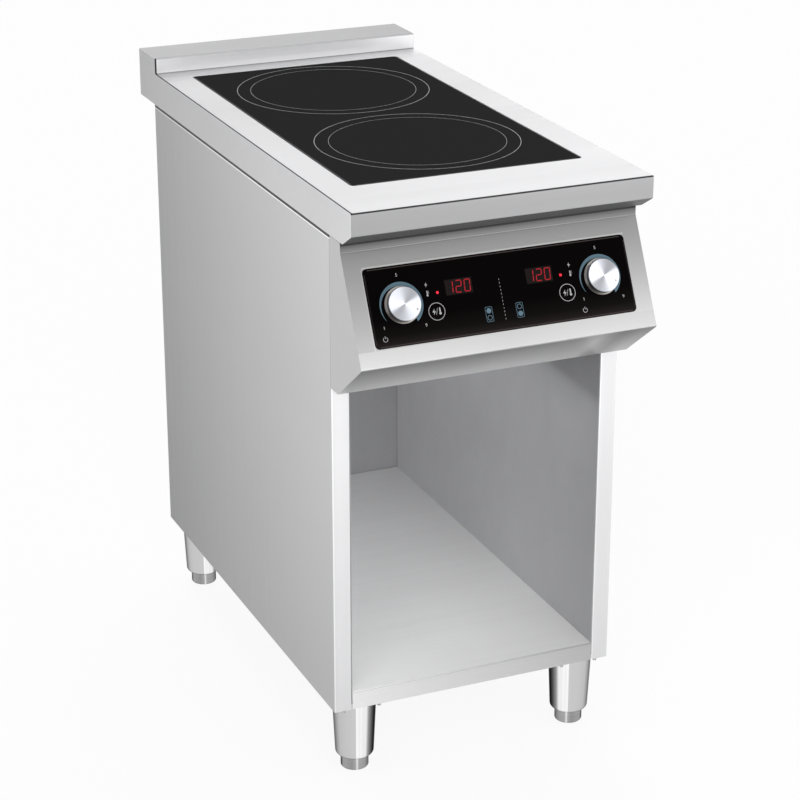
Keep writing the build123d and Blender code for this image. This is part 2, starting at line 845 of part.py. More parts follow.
def coil_carrier(y):
    """Plastic disc under the winding with a rib between its bands and a hub for the sensor."""
    height = carrier_thickness + winding_height
    disc = rod(carrier_radius, carrier_thickness)
    disc += rod(winding_split_outer, height) - rod(winding_split_inner, height)
    disc += rod(carrier_hub_radius, height)
    disc -= rod(sensor_radius, height)
    return Pos(0, y, carrier_z) * disc


def mica_discs():
    """Insulating discs between the windings and the glass, open in the middle for the sensors."""
    disc = rod(mica_radius, mica_thickness) - rod(sensor_radius, mica_thickness)
    return [Pos(0, y, mica_z) * disc for y in (zone_front_y, zone_rear_y)]


def temperature_sensors():
    """Sensor capsules in the hubs, pressed to the underside of the glass."""
    height = hob_glass_underside - carrier_z
    return [rod(sensor_radius, height, 0, y, carrier_z) for y in (zone_front_y, zone_rear_y)]


def ferrite_bars():
    """Radial ferrites glued under both carriers."""
    bars = []
    bar = block(ferrite_length, ferrite_width, ferrite_thickness, x=ferrite_mid_radius)
    for y in (zone_front_y, zone_rear_y):
        place = Pos(0, y, carrier_z - ferrite_thickness)
        for n in range(ferrite_count):
            bars.append(place * Rot(0, 0, (n + 0.5) * 360 / ferrite_count) * bar)
    return bars


def coil_springs():
    """Spring posts between the shield plate and the carriers."""
    posts = []
    for y in (zone_front_y, zone_rear_y):
        for n in range(coil_spring_count):
            post = rod(coil_spring_radius, coil_spring_height, x=coil_spring_circle)
            posts.append(Pos(0, y, shield_z) * Rot(0, 0, 90 + n * 360 / coil_spring_count) * post)
    return posts


def coil_shield():
    """Aluminium plate under both coils, its side flanges fixed to the side panels."""
    section = [
        (-skin_inner_x, shield_z - coil_shield_flange),
        (-skin_inner_x, shield_z),
        (skin_inner_x, shield_z),
        (skin_inner_x, shield_z - coil_shield_flange),
    ]
    bent = folded_section(section, coil_shield_sheet, side=Side.RIGHT)
    front = post_y + coil_shield_front_gap
    rear = rear_y - coil_shield_rear_gap
    return Pos(0, rear, 0) * extrude(Plane.XZ * bent, rear - front)


# ======================================================================= electronics
def generator_board(side):
    """Power board on four spacers."""
    x = side * bay_pitch / 2
    board = block(generator_width, generator_depth, board_thickness, x, generator_y, generator_z)
    inset = 2 * spacer_radius
    for dx in (inset - generator_width / 2, generator_width / 2 - inset):
        for dy in (inset - generator_depth / 2, generator_depth / 2 - inset):
            board += rod(spacer_radius, generator_spacer, x + dx, generator_y + dy, bay_top)
    return board


def heat_sink(side):
    """Extruded aluminium heat sink, its fins along the air stream."""
    x = side * bay_pitch / 2
    y = generator_y - generator_depth / 2 + sink_length / 2
    sink = block(sink_width, sink_length, sink_base, x, y, sink_z)
    pitch = (sink_width - sink_fin_thickness) / (sink_fins - 1)
    for n in range(sink_fins):
        fin_x = x - sink_width / 2 + sink_fin_thickness / 2 + n * pitch
        sink += block(sink_fin_thickness, sink_length, sink_height, fin_x, y, sink_z)
    return sink


def fan_frame(side):
    """Square fan frame with its round duct, motor boss, bearing pin and four struts. Built along Z."""
    body = rounded_slab(fan_size, fan_size, 2 * fold_radius, fan_depth) - rod(fan_duct_radius, fan_depth)
    body += rod(fan_hub_radius, fan_strut_depth)
    for n in range(fan_struts):
        strut = block(fan_duct_radius, fan_strut_width, fan_strut_depth, x=fan_duct_radius / 2)
        body += Rot(0, 0, (n + 0.5) * 360 / fan_struts) * strut
    body += rod(fan_pin_radius, fan_depth - fan_hub_gap)
    return fan_place(side) * body


def fan_place(side):
    """The fan stands on the bay floor and blows to the rear: its motor side faces the heat sink."""
    return Pos(side * bay_pitch / 2, fan_y + fan_depth / 2, fan_axis_z) * Rot(90, 0, 0)


def fan_rotor(side):
    """Fan wheel: a hub bored for the pin and twisted blades whose pitch falls from root to tip."""
    low = fan_strut_depth + fan_hub_gap
    hub_height = fan_depth - low - fan_hub_gap
    hub = rod(fan_hub_radius, hub_height, z=low)
    tip = fan_duct_radius - fan_tip_gap
    mid = low + hub_height / 2
    reach = hub_height - 2 * fan_blade_thickness
    sections = []
    root = fan_hub_radius - fan_blade_thickness
    for radius, pitch in ((root, fan_blade_root_pitch), (tip, fan_blade_tip_pitch)):
        lean = radians(pitch)
        chord = reach / sin(lean)
        plane = Plane(origin=(radius, 0, mid), x_dir=(0, cos(lean), sin(lean)), z_dir=(1, 0, 0))
        sections.append(plane * Rectangle(chord, fan_blade_thickness))
    blade = loft(sections)
    blade = blade & (rod(tip, hub_height, z=low) - rod(fan_hub_radius / 2, hub_height, z=low))
    for n in range(fan_blades):
        hub += Rot(0, 0, n * 360 / fan_blades) * blade
    hub -= rod(fan_pin_radius + shaft_running_gap, fan_depth)
    return fan_place(side) * hub


def mains_filter():
    """Interference filter: board, ring choke and two capacitors."""
    x = -bay_pitch / 2
    board = block(filter_width, filter_depth, board_thickness, x, filter_y, bay_top + generator_spacer)
    top = bay_top + generator_spacer + board_thickness
    choke = rod(choke_radius, choke_height) - rod(choke_hole_radius, choke_height)
    board += Pos(x - filter_width / 4, filter_y, top) * choke
    for n in (-1, 1):
        y = filter_y + n * capacitor_depth
        board += block(capacitor_width, capacitor_depth, capacitor_height, x + filter_width / 4, y, top)
    inset = 2 * spacer_radius
    for dx in (inset - filter_width / 2, filter_width / 2 - inset):
        for dy in (inset - filter_depth / 2, filter_depth / 2 - inset):
            board += rod(spacer_radius, generator_spacer, x + dx, filter_y + dy, bay_top)
    return board


def terminal_block():
    """Five-pole terminal block with open screw wells."""
    pitch = terminal_width / terminal_poles
    body = block(terminal_width, terminal_depth, terminal_height)
    for n in range(terminal_poles):
        x = (n - (terminal_poles - 1) / 2) * pitch
        body -= rod(terminal_screw_radius, terminal_height / 2, x, 0, terminal_height / 2)
    return Pos(bay_pitch / 2, filter_y, bay_top) * body


# ======================================================================= rear cover and what it carries
def louvre(x, z):
    """One pressed louvre: its opening faces down and its hood leans out from the cover."""
    outside = [(0, 0), (louvre_depth, 0), (0, louvre_height)]
    inside = [
        (-cover_sheet, -cover_sheet),
        (louvre_depth - 2 * cover_sheet, -cover_sheet),
        (-cover_sheet, louvre_height - 2 * cover_sheet),
    ]
    half = louvre_width / 2
    hood = along_x(make_face(Polyline(*outside, close=True)), half)
    hollow = along_x(make_face(Polyline(*inside, close=True)), half - cover_sheet)
    return Pos(x, rear_y + cover_sheet, z) * hood, Pos(x, rear_y + cover_sheet, z) * hollow


def rear_cover():
    """Service panel of the electronics bay with two banks of pressed louvres."""
    panel = span(-cover_x, cover_x, rear_y, rear_y + cover_sheet, cover_low, cover_high)
    for side in sides.values():
        for row in range(louvre_rows):
            z = cover_low + louvre_raise + row * louvre_pitch_z
            hood, hollow = louvre(side * louvre_pitch_x / 2, z)
            panel = panel + hood - hollow
    holes = [(gland_x, gland_z, gland_thread_radius), (bonding_x, gland_z, bonding_radius)]
    holes += [(x, z, screw_radius) for x, z in cover_screw_places()]
    for x, z, radius in holes:
        panel -= Pos(x, rear_y - cover_sheet, z) * Rot(-90, 0, 0) * rod(radius, 4 * cover_sheet)
    return panel


def cover_screw_places():
    """Screw positions along both sides of the rear cover, over the side panels' rear returns."""
    x = cover_x - screw_head_radius - wall_gap
    margin = 3 * screw_head_radius
    heights = (cover_low + margin, (cover_low + cover_high) / 2, cover_high - margin)
    return [(side * x, z) for side in sides.values() for z in heights]


def pan_head_screw(grip):
    """A pan-head screw whose head bears on z = grip."""
    head = rod(screw_head_radius, screw_head_height, z=grip)
    head = chamfer(head.faces().sort_by(Axis.Z)[-1].edges(), screw_head_height / 2)
    return head + rod(screw_radius, grip)


def panel_screws():
    """Pan-head screws of the rear cover, and those inside the control panel that hold it to the posts."""
    rear_screw = Rot(-90, 0, 0) * pan_head_screw(cover_sheet)
    front_screw = Rot(90, 0, 0) * pan_head_screw(fascia_sheet)
    screws = [Pos(x, rear_y, z) * rear_screw for x, z in cover_screw_places()]
    screws += [Pos(x, post_y, z) * front_screw for x, z in fascia_screw_places()]
    return screws


def cable_gland():
    """Cable gland in the rear cover: lock nut inside, hexagon body and domed cap outside."""
    body_end = cover_sheet + gland_body_length
    gland = hexagon(gland_hex_across_flats, gland_nut_thickness, z=-gland_nut_thickness)
    gland += rod(gland_thread_radius, gland_tail + body_end, z=-gland_tail)
    gland += hexagon(gland_hex_across_flats, gland_body_length, z=cover_sheet)
    cap = rod(gland_cap_radius, gland_cap_length, z=body_end)
    dome = gland_cap_radius - gland_bore_radius - fold_radius
    cap = fillet(cap.faces().sort_by(Axis.Z)[-1].edges(), dome)
    gland += cap
    gland -= rod(gland_bore_radius, gland_tail + body_end + gland_cap_length, z=-gland_tail)
    return Pos(gland_x, rear_y, gland_z) * Rot(-90, 0, 0) * gland


def bonding_stud():
    """Equipotential bonding terminal: a stud with an inner and an outer nut."""
    stud = rod(bonding_radius, bonding_length + cover_sheet + m6_nut_thickness, z=-m6_nut_thickness)
    stud += hexagon(m6_nut_across_flats, m6_nut_thickness, z=-m6_nut_thickness)
    stud += hexagon(m6_nut_across_flats, m6_nut_thickness, z=cover_sheet)
    return Pos(bonding_x, rear_y, gland_z) * Rot(-90, 0, 0) * stud


# ======================================================================= every node
def build_nodes():
    """All sub-parts by name. A list holds the separate solids of one group."""
    nodes = {
        "worktop": worktop(),
        "hob_glass": hob_glass(),
        "hob_seal": hob_seal(),
        "worktop_studs": worktop_studs(),
        "compartment_back": compartment_back(),
        "bottom_shelf": bottom_shelf(),
        "bay_floor": bay_floor(),
        "leg_brackets": leg_brackets(),
        "leg_bolts": leg_bolts(),
        "control_fascia": control_fascia(),
        "control_glass": control_glass(),
        "control_seal": control_seal(),
        "encoder_bodies": encoder_bodies(),
        "shaft_seals": shaft_seals(),
        "control_board": control_board(),
        "board_spacers": board_spacers(),
        "display_modules": display_modules(),
        "indicator_lamps": indicator_lamps(),
        "touch_springs": touch_springs(),
        "mica_discs": mica_discs(),
        "temperature_sensors": temperature_sensors(),
        "ferrite_bars": ferrite_bars(),
        "coil_springs": coil_springs(),
        "coil_shield": coil_shield(),
        "mains_filter": mains_filter(),
        "terminal_block": terminal_block(),
        "rear_cover": rear_cover(),
        "panel_screws": panel_screws(),
        "cable_gland": cable_gland(),
        "bonding_stud": bonding_stud(),
    }
    for end, y in (("front", zone_front_y), ("rear", zone_rear_y)):
        nodes[f"coil_{end}"] = coil(y)
        nodes[f"coil_carrier_{end}"] = coil_carrier(y)
    for name, side in sides.items():
        nodes[f"side_panel_{name}"] = side_panel(side)
        nodes[f"liner_{name}"] = liner(side)
        nodes[f"knob_cap_{name}"] = knob_cap(side)
        nodes[f"knob_core_{name}"] = knob_core(side)
        nodes[f"encoder_shaft_{name}"] = encoder_shaft(side)
        nodes[f"generator_board_{name}"] = generator_board(side)
        nodes[f"heat_sink_{name}"] = heat_sink(side)
        nodes[f"fan_frame_{name}"] = fan_frame(side)
        nodes[f"fan_rotor_{name}"] = fan_rotor(side)
    for name, (x, y) in corners.items():
        nodes[f"leg_{name}"] = leg(x, y)
        nodes[f"foot_{name}"] = foot(x, y)
    return nodes


for name, shape in build_nodes().items():
    solid = Compound(children=shape) if isinstance(shape, list) else shape
    export_step(solid, f"parts/{name}.step")
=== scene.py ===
"""Looks of a free-standing induction cooktop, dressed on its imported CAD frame. Metres, +Z up, the controls face -Y."""
import json
from functools import partial
from math import cos, hypot, pi, radians, sin

import bmesh
import bpy
from mathutils import Matrix, Vector


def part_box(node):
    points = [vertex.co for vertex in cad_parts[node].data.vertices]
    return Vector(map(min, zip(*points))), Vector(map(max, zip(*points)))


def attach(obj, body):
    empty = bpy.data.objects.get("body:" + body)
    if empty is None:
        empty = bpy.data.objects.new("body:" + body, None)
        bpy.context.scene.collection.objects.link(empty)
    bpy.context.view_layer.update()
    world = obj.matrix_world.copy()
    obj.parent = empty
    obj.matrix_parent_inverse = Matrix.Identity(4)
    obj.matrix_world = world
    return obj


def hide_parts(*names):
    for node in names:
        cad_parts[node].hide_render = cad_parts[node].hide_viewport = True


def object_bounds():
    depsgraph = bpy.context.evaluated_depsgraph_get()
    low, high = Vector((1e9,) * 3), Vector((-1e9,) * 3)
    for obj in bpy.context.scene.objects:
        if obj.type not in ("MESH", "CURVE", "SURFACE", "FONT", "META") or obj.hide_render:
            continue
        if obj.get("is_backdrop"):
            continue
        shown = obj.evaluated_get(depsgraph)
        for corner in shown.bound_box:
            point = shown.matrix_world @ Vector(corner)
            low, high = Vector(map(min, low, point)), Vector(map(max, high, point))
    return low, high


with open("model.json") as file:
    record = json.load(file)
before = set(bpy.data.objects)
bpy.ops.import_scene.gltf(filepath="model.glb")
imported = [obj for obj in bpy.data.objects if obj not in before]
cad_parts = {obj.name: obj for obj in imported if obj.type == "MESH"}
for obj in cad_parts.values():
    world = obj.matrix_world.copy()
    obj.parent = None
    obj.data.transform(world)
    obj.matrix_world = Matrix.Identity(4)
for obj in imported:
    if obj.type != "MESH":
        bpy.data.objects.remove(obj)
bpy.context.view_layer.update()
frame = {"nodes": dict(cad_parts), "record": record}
nodes = frame["nodes"]
record = frame["record"]
scene = bpy.context.scene
MM = 0.001


# -------------------------------------------------- studio
# A plain pale floor under a white surround, with two broad soft lamps, one from behind and one from in front. Two
# near panels even out the light on the controls and inside the open compartment.
def fill(slot, value):
    """Sets a socket to a plain value, or joins another socket to it."""
    if isinstance(value, bpy.types.NodeSocket):
        slot.id_data.links.new(value, slot)
    else:
        slot.default_value = value


def add_node(tree, kind, *terms, **settings):
    """A new node. A setting is one of its properties, or a socket by name; terms fill its sockets in order."""
    node = tree.nodes.new(kind)
    for key, value in settings.items():
        if hasattr(node, key):
            setattr(node, key, value)
        else:
            fill(node.inputs[key.replace("_", " ")], value)
    for slot, term in zip(node.inputs, terms):
        fill(slot, term)
    return node


def shading(name, is_world=False):
    """An empty node tree for a material or the world, and the function that adds its nodes."""
    block = bpy.data.worlds.new(name) if is_world else bpy.data.materials.new(name)
    block.use_nodes = True
    block.node_tree.nodes.clear()
    return block, partial(add_node, block.node_tree)


def arithmetic(add, operation, *terms):
    """The result of a Math node over sockets or plain numbers."""
    return add("ShaderNodeMath", *terms, operation=operation).outputs[0]


def seen_directly(add):
    """1 for what the camera, a reflection or a pane of glass shows, 0 for the light that falls on the object."""
    path = add("ShaderNodeLightPath").outputs
    either = arithmetic(add, "MAXIMUM", path["Is Camera Ray"], path["Is Glossy Ray"])
    return arithmetic(add, "MAXIMUM", either, path["Is Transmission Ray"])


def grey(tone):
    """A colour with no hue."""
    return (tone, tone, tone, 1)


def placed(name, data):
    """A new object in the scene."""
    item = bpy.data.objects.new(name, data)
    scene.collection.objects.link(item)
    return item


surround, add = shading("white_surround", is_world=True)
even_light = 0.5  # what the surround gives from all around; where it is seen, it is 1
strength = arithmetic(add, "MULTIPLY_ADD", seen_directly(add), 1 - even_light, even_light)
sky = add("ShaderNodeBackground", Color=grey(1), Strength=strength)
add("ShaderNodeOutputWorld", Surface=sky.outputs[0])
scene.world = surround
scene.view_settings.view_transform = "Standard"

floor_half, paper_tone, glow_share = 40.0, 0.86, 0.9
floor_corners = [(x * floor_half, y * floor_half, 0) for x, y in ((-1, -1), (1, -1), (1, 1), (-1, 1))]
floor_mesh = bpy.data.meshes.new("studio_floor")
floor_mesh.from_pydata(floor_corners, [], [(0, 1, 2, 3)])
floor_paper, add = shading("floor_paper")
paper = add("ShaderNodeBsdfDiffuse", Color=grey(paper_tone))
glow = add("ShaderNodeEmission", Color=grey(1), Strength=1.0)
share = arithmetic(add, "MULTIPLY", seen_directly(add), glow_share)
blend = add("ShaderNodeMixShader", share, paper.outputs[0], glow.outputs[0])
add("ShaderNodeOutputMaterial", Surface=blend.outputs[0])
floor_mesh.materials.append(floor_paper)
studio_floor = placed("studio_floor", floor_mesh)
studio_floor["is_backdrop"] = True


def direction(azimuth, elevation=0.0):
    """Direction away from the object, in degrees; azimuth 0 is in front of the controls, positive to the right."""
    a, e = radians(azimuth), radians(elevation)
    return Vector((sin(a) * cos(e), -cos(a) * cos(e), sin(e)))


def lamp(name, azimuth, elevation, strength, spread):
    """A distant soft lamp; its spread is in degrees."""
    data = bpy.data.lights.new(name, "SUN")
    data.energy, data.angle = strength, radians(spread)
    placed(name, data).rotation_euler = direction(azimuth, elevation).to_track_quat("Z", "Y").to_euler()


def panel_lamp(name, place, aim, width, height, radiance):
    """A near flat lamp that the camera doesn't see; radiance 1 is as bright as the surround."""
    data = bpy.data.lights.new(name, "AREA")
    data.shape, data.size, data.size_y = "RECTANGLE", width, height
    data.energy = radiance * pi * width * height
    panel = placed(name, data)
    panel.location = place
    panel.rotation_euler = (Vector(place) - Vector(aim)).to_track_quat("Z", "Y").to_euler()
    panel.visible_camera = False


lamp("rear_softbox", azimuth=165, elevation=48, strength=1.4, spread=60)
lamp("front_fill", azimuth=-30, elevation=20, strength=1.5, spread=60)
panel_lamp("bay_lamp", place=(0, -0.05, 0.49), aim=(0, -0.03, 0), width=0.3, height=0.6, radiance=0.9)
panel_lamp("slope_lamp", place=(0.26, -1.0, 0.788), aim=(0, -0.38, 0.588), width=0.7, height=0.3, radiance=2.0)

camera_data = bpy.data.cameras.new("camera")
camera_data.sensor_width, camera_data.lens = 36.0, 108.25
camera = placed("camera", camera_data)
camera.location = (-1.209, -2.8585, 1.6175)
camera.rotation_mode = "QUATERNION"
camera.rotation_quaternion = direction(azimuth=-23.44, elevation=21.59).to_track_quat("Z", "Y")
scene.camera = camera


# -------------------------------------------------- worktop
# The top is folded from 1.5 mm stainless sheet, satin-brushed across its width, with the corners welded and
# dressed. Nose, skirts and upstand are one sheet.
def effect_group(name, outputs, **inputs):
    """A shader node group with named inputs and outputs, its inputs, and the function that adds its nodes."""
    group = bpy.data.node_groups.new(name, "ShaderNodeTree")
    for label, value in inputs.items():
        kind = "Float" if isinstance(value, float) else {3: "Vector", 4: "Color"}[len(value)]
        slot = group.interface.new_socket(label.replace("_", " "), in_out="INPUT", socket_type="NodeSocket" + kind)
        slot.default_value = value
    for label in outputs:
        kind = "NodeSocketColor" if label == "Color" else "NodeSocketFloat"
        group.interface.new_socket(label, in_out="OUTPUT", socket_type=kind)
    add = partial(add_node, group)
    return group, add, add("NodeGroupInput").outputs


def effect(add, group, **values):
    """Places an effect group in a material, with its own values; returns what it puts out."""
    return add("ShaderNodeGroup", node_tree=group, **values).outputs


def vector_math(add, operation, *terms, **settings):
    """The result of a Vector Math node over sockets or plain vectors."""
    node = add("ShaderNodeVectorMath", *terms, operation=operation, **settings)
    return node.outputs["Value" if operation in ("DOT_PRODUCT", "LENGTH") else "Vector"]


def tinted(add, color, tone):
    """A colour made lighter or darker by a tone."""
    return vector_math(add, "SCALE", color, Scale=tone)


def noise(add, place, scale, **settings):
    """A cloudy pattern; a larger scale is finer."""
    return add("ShaderNodeTexNoise", Vector=place, Scale=scale, **settings).outputs[0]


def where(add):
    """The place on the object, in metres."""
    return add("ShaderNodeTexCoord").outputs["Object"]


def brushed_grain_group():
    """Long fine scratches, broader streaks and a slow cloudiness, as belt-brushed sheet has."""
    group, add, given = effect_group(
        "brushed_grain", ("Color", "Roughness", "Height"), Metal=grey(0.6), Stretch=(10, 900, 900), Tone_Spread=0.1,
        Roughness=0.4, Roughness_Spread=0.1)
    place, streak_share, cloud_share = where(add), 0.6, 0.5
    along = vector_math(add, "MULTIPLY", place, given["Stretch"])
    scratches = noise(add, along, 1.0, Detail=4.0, Roughness=0.7)
    streaks = noise(add, along, 0.09, Detail=2.0, Roughness=0.5)
    clouds = noise(add, place, 5.0, Detail=1.0)
    mixed = arithmetic(add, "MULTIPLY_ADD", streaks, streak_share, scratches)
    mixed = arithmetic(add, "MULTIPLY_ADD", clouds, cloud_share, mixed)
    offset = arithmetic(add, "SUBTRACT", mixed, (1 + streak_share + cloud_share) / 2)
    tone = arithmetic(add, "MULTIPLY_ADD", offset, given["Tone Spread"], 1.0)
    rough = arithmetic(add, "MULTIPLY_ADD", offset, given["Roughness Spread"], given["Roughness"])
    add("NodeGroupOutput", Color=tinted(add, given["Metal"], tone), Roughness=rough, Height=scratches)
    return group


brushed_grain = brushed_grain_group()


def principled(material, add, **values):
    """Closes a material with one Principled shader, whose plain values sit on its own sockets."""
    shader = add("ShaderNodeBsdfPrincipled", **values)
    add("ShaderNodeOutputMaterial", Surface=shader.outputs[0])
    return material


def grooved(add, height, strength, depth):
    """The normal of a surface with relief from a height value."""
    return add("ShaderNodeBump", Strength=strength, Distance=depth, Height=height).outputs[0]


FAR = 9.0
ANYWHERE, UPWARDS, TO_FRONT, TO_REAR = (-FAR, FAR), (0, 0, 1), (0, -1, 0), (0, 1, 0)
TO_RIGHT, TO_LEFT, UP_FRONT, DOWN_FRONT = (1, 0, 0), (-1, 0, 0), (0, -1, 1), (0, -1, -1)


def toned_patch_group():
    """Multiplies a colour by a tone inside a box, on faces that look one way; the tone may change along an axis."""
    group, add, given = effect_group(
        "toned_patch", ("Color",), Color=grey(0.5), Low=(-FAR, -FAR, -FAR), High=(FAR, FAR, FAR), Axis=UPWARDS,
        First_Tone=1.0, Last_Tone=1.0, Facing=(0, 0, 0), Least_Facing=-2.0)
    source = add("ShaderNodeTexCoord").outputs
    place, edge_blur, facing_blur = source["Object"], 0.0001, 0.05

    def share(value, low, high):
        return add("ShaderNodeMapRange", value, low, high).outputs[0]

    margins = vector_math(add, "MINIMUM", vector_math(add, "SUBTRACT", place, given["Low"]),
                          vector_math(add, "SUBTRACT", given["High"], place))
    x, y, z = add("ShaderNodeSeparateXYZ", margins).outputs
    inside = share(arithmetic(add, "MINIMUM", arithmetic(add, "MINIMUM", x, y), z), -edge_blur, edge_blur)
    turned = vector_math(add, "DOT_PRODUCT", source["Normal"], given["Facing"])
    facing = share(arithmetic(add, "SUBTRACT", turned, given["Least Facing"]), -facing_blur, facing_blur)
    chosen = arithmetic(add, "MULTIPLY", inside, facing)
    ends = (place, given["Low"], given["High"])
    along = share(*(vector_math(add, "DOT_PRODUCT", end, given["Axis"]) for end in ends))
    spread = arithmetic(add, "SUBTRACT", given["Last Tone"], given["First Tone"])
    change = arithmetic(add, "SUBTRACT", arithmetic(add, "MULTIPLY_ADD", along, spread, given["First Tone"]), 1.0)
    tone = arithmetic(add, "MULTIPLY_ADD", change, chosen, 1.0)
    add("NodeGroupOutput", Color=tinted(add, given["Color"], tone))
    return group


toned_patch = toned_patch_group()


def toned(add, color, patches):
    """Passes a colour through toned patches."""
    for values in patches:
        color = effect(add, toned_patch, Color=color, **values)[0]
    return color


def zone(first, last=None, x=ANYWHERE, y=ANYWHERE, z=ANYWHERE, axis=UPWARDS, facing=None, least=0.5):
    """The values of one toned patch over ranges of x, y and z; without a facing it takes in every face."""
    low, high = zip(x, y, z)
    values = dict(First_Tone=first, Last_Tone=first if last is None else last, Low=low, High=high, Axis=axis)
    if facing is not None:
        values.update(Facing=Vector(facing).normalized(), Least_Facing=least)
    return values


def upto(value):
    """The range below or before a value."""
    return (-FAR, value)


def past(value):
    """The range above or behind a value."""
    return (value, FAR)


def brushed_steel(name, metal, stretch, roughness, tone=0.12, metallic=0.75, relief=0.25, spread=0.25, patches=(),
                  bands=None, **constants):
    """Satin metal whose grain runs along the axis with the smallest stretch; patches and bands paint light, shade and
    reflections into its tone.
    """
    material, add = shading(name)
    grain = effect(add, brushed_grain, Metal=(*metal, 1), Stretch=stretch, Tone_Spread=tone, Roughness=roughness,
                   Roughness_Spread=spread)
    color = toned(add, grain["Color"], patches)
    if bands is not None:
        color = effect(add, Color=color, **bands)[0]
    normal = grooved(add, grain["Height"], relief, depth=0.02 * MM)
    return principled(material, add, Base_Color=color, Metallic=metallic, Roughness=grain["Roughness"],
                      Normal=normal, **constants)


def coat(node, material):
    """Gives a material to one CAD node."""
    for holder in nodes[node].material_slots:
        holder.material = material


def dress(slot, material):
    """Gives a material to every CAD node of one of the record's finishes."""
    for part in record["subparts"]:
        if part["material_slot"] == slot:
            coat(part["node"], material)


ALONG_X, ALONG_Y, ALONG_Z = (4, 900, 900), (900, 4, 900), (900, 900, 4)
SATIN = (0.42, 0.42, 0.425)
top_low, top_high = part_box("worktop")
deck_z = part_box("hob_glass")[1].z
edge_line, upstand_depth, upstand_shade = 1.2 * MM, 72 * MM, 40 * MM
upstand_y = top_high.y - upstand_depth
top_depth, top_width = (top_low.y, top_high.y), (top_low.x, top_high.x)
on_deck, deck_fold = upto(deck_z + edge_line), upto(deck_z + 2 * edge_line)
left_fold = (top_low.x + 0.3 * MM, top_low.x + 2.5 * MM)
# Painted light and shade: each patch below paints a highlight, shade or reflection gradient into the sheet's colour.
worktop_painted_shading = [
    zone(1.85, 2.2, z=(deck_z + edge_line, top_high.z), facing=TO_FRONT),  # upstand, painted lighter, most at its top
    zone(0.9, z=past(top_high.z - edge_line), facing=UPWARDS),  # its top, painted slightly darker
    zone(1.53, 1.32, y=top_depth, z=on_deck, axis=TO_REAR, facing=UPWARDS, least=0.98),  # deck, painted lighter, most at the front
    zone(0.91, 1.11, x=top_width, z=on_deck, axis=TO_RIGHT, facing=UPWARDS, least=0.98),  # deck, painted darker at the left and lighter at the right
    # deck painted lighter towards the foot of the upstand, against its shade
    zone(1.0, 1.4, y=(upstand_y - upstand_shade, upstand_y), z=on_deck, axis=TO_REAR, facing=UPWARDS, least=0.9),
    zone(0.82, z=upto(deck_z - edge_line), facing=TO_FRONT),  # nose, painted darker
    zone(1.94, 1.33, x=upto(top_low.x + edge_line), y=top_depth, axis=TO_REAR, facing=TO_LEFT),  # left skirt, painted lighter, most at the front
    zone(0.51, facing=(0, -0.5, -0.86), least=0.85),  # painted shade under the nose
    zone(0.1, y=upto(top_low.y + 3 * edge_line), z=deck_fold, facing=UP_FRONT, least=0.8),  # painted dark line on the fold of the nose
    zone(0.7, y=past(upstand_y - 3 * edge_line), z=deck_fold, facing=UP_FRONT, least=0.85),  # painted shade on the foot of the upstand
    zone(0.55, z=past(top_high.z - 2 * edge_line), facing=UP_FRONT, least=0.75),  # painted shade on the fold of its top edge
    zone(0.04, x=left_fold, y=upto(upstand_y), z=on_deck, facing=(-0.3, 0, 1)),  # painted dark line on the fold along the left side
    zone(0.05, x=upto(top_low.x + 2.2 * edge_line), z=past(deck_z), facing=TO_FRONT),  # painted dark line at the left end of the upstand
]
dress("worktop_steel", brushed_steel("worktop_satin_steel", SATIN, ALONG_X, roughness=0.4, patches=worktop_painted_shading,
                                     Specular_Tint=grey(0.5), Specular_IOR_Level=0.3))


# -------------------------------------------------- hob glass
# Black ceramic glass, 4 mm thick and ground at its edge, bedded flush in silicone. Each cooking zone is
# screen-printed on it as two thin rings.
def uneven(add, pattern, spread):
    """A tone about 1 that follows a pattern."""
    return arithmetic(add, "MULTIPLY_ADD", pattern, spread, 1 - spread / 2)


def wiped_glass_group():
    """Faint wipe marks in the gloss of a glass plate, and fine specks in its colour."""
    group, add, given = effect_group("wiped_glass", ("Roughness", "Color"), Gloss=0.05, Marks=0.05,
                                     Glass=(0, 0, 0, 1))
    place = where(add)
    sweep = add("ShaderNodeMapping", Vector=place, Rotation=(0.2, 0.4, 0.7), Scale=(6, 22, 12))
    marks = noise(add, sweep.outputs[0], 1.0, Detail=5.0, Roughness=0.65, Distortion=0.8)
    rough = arithmetic(add, "MULTIPLY_ADD", marks, given["Marks"], given["Gloss"])
    specks = noise(add, place, 2600.0, Detail=1.0)
    add("NodeGroupOutput", Roughness=rough, Color=tinted(add, given["Glass"], uneven(add, specks, 0.5)))
    return group


wiped_glass = wiped_glass_group()


def black_glass(name, color, gloss, specular, marks=0.06, patches=()):
    """Opaque black glass with a printed back."""
    material, add = shading(name)
    surface = effect(add, wiped_glass, Gloss=gloss, Marks=marks, Glass=(*color, 1))
    return principled(material, add, Base_Color=toned(add, surface["Color"], patches),
                      Roughness=surface["Roughness"], Specular_IOR_Level=specular)


def printed(name, color):
    """Baked-on ceramic ink: slightly uneven in tone and matt."""
    return black_glass(name, color, gloss=0.45, specular=0.3, marks=0.2)


hob_low, hob_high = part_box("hob_glass")
hob_bevel, hob_corner, bevel_highlight_tone = 2.2 * MM, 6.0 * MM, 4.0
# Painted highlights along the bevel of the front and left edges.
hob_edge_highlights = [
    zone(bevel_highlight_tone, x=(hob_low.x + hob_corner, hob_high.x - hob_corner), y=(hob_low.y, hob_low.y + hob_bevel)),
    zone(bevel_highlight_tone, x=(hob_low.x, hob_low.x + hob_bevel), y=(hob_low.y + hob_corner, hob_high.y - hob_corner)),
]
dress("hob_glass", black_glass("black_ceramic_glass", (0.0225, 0.0225, 0.023), gloss=0.04, specular=0.0,
                               patches=hob_edge_highlights))


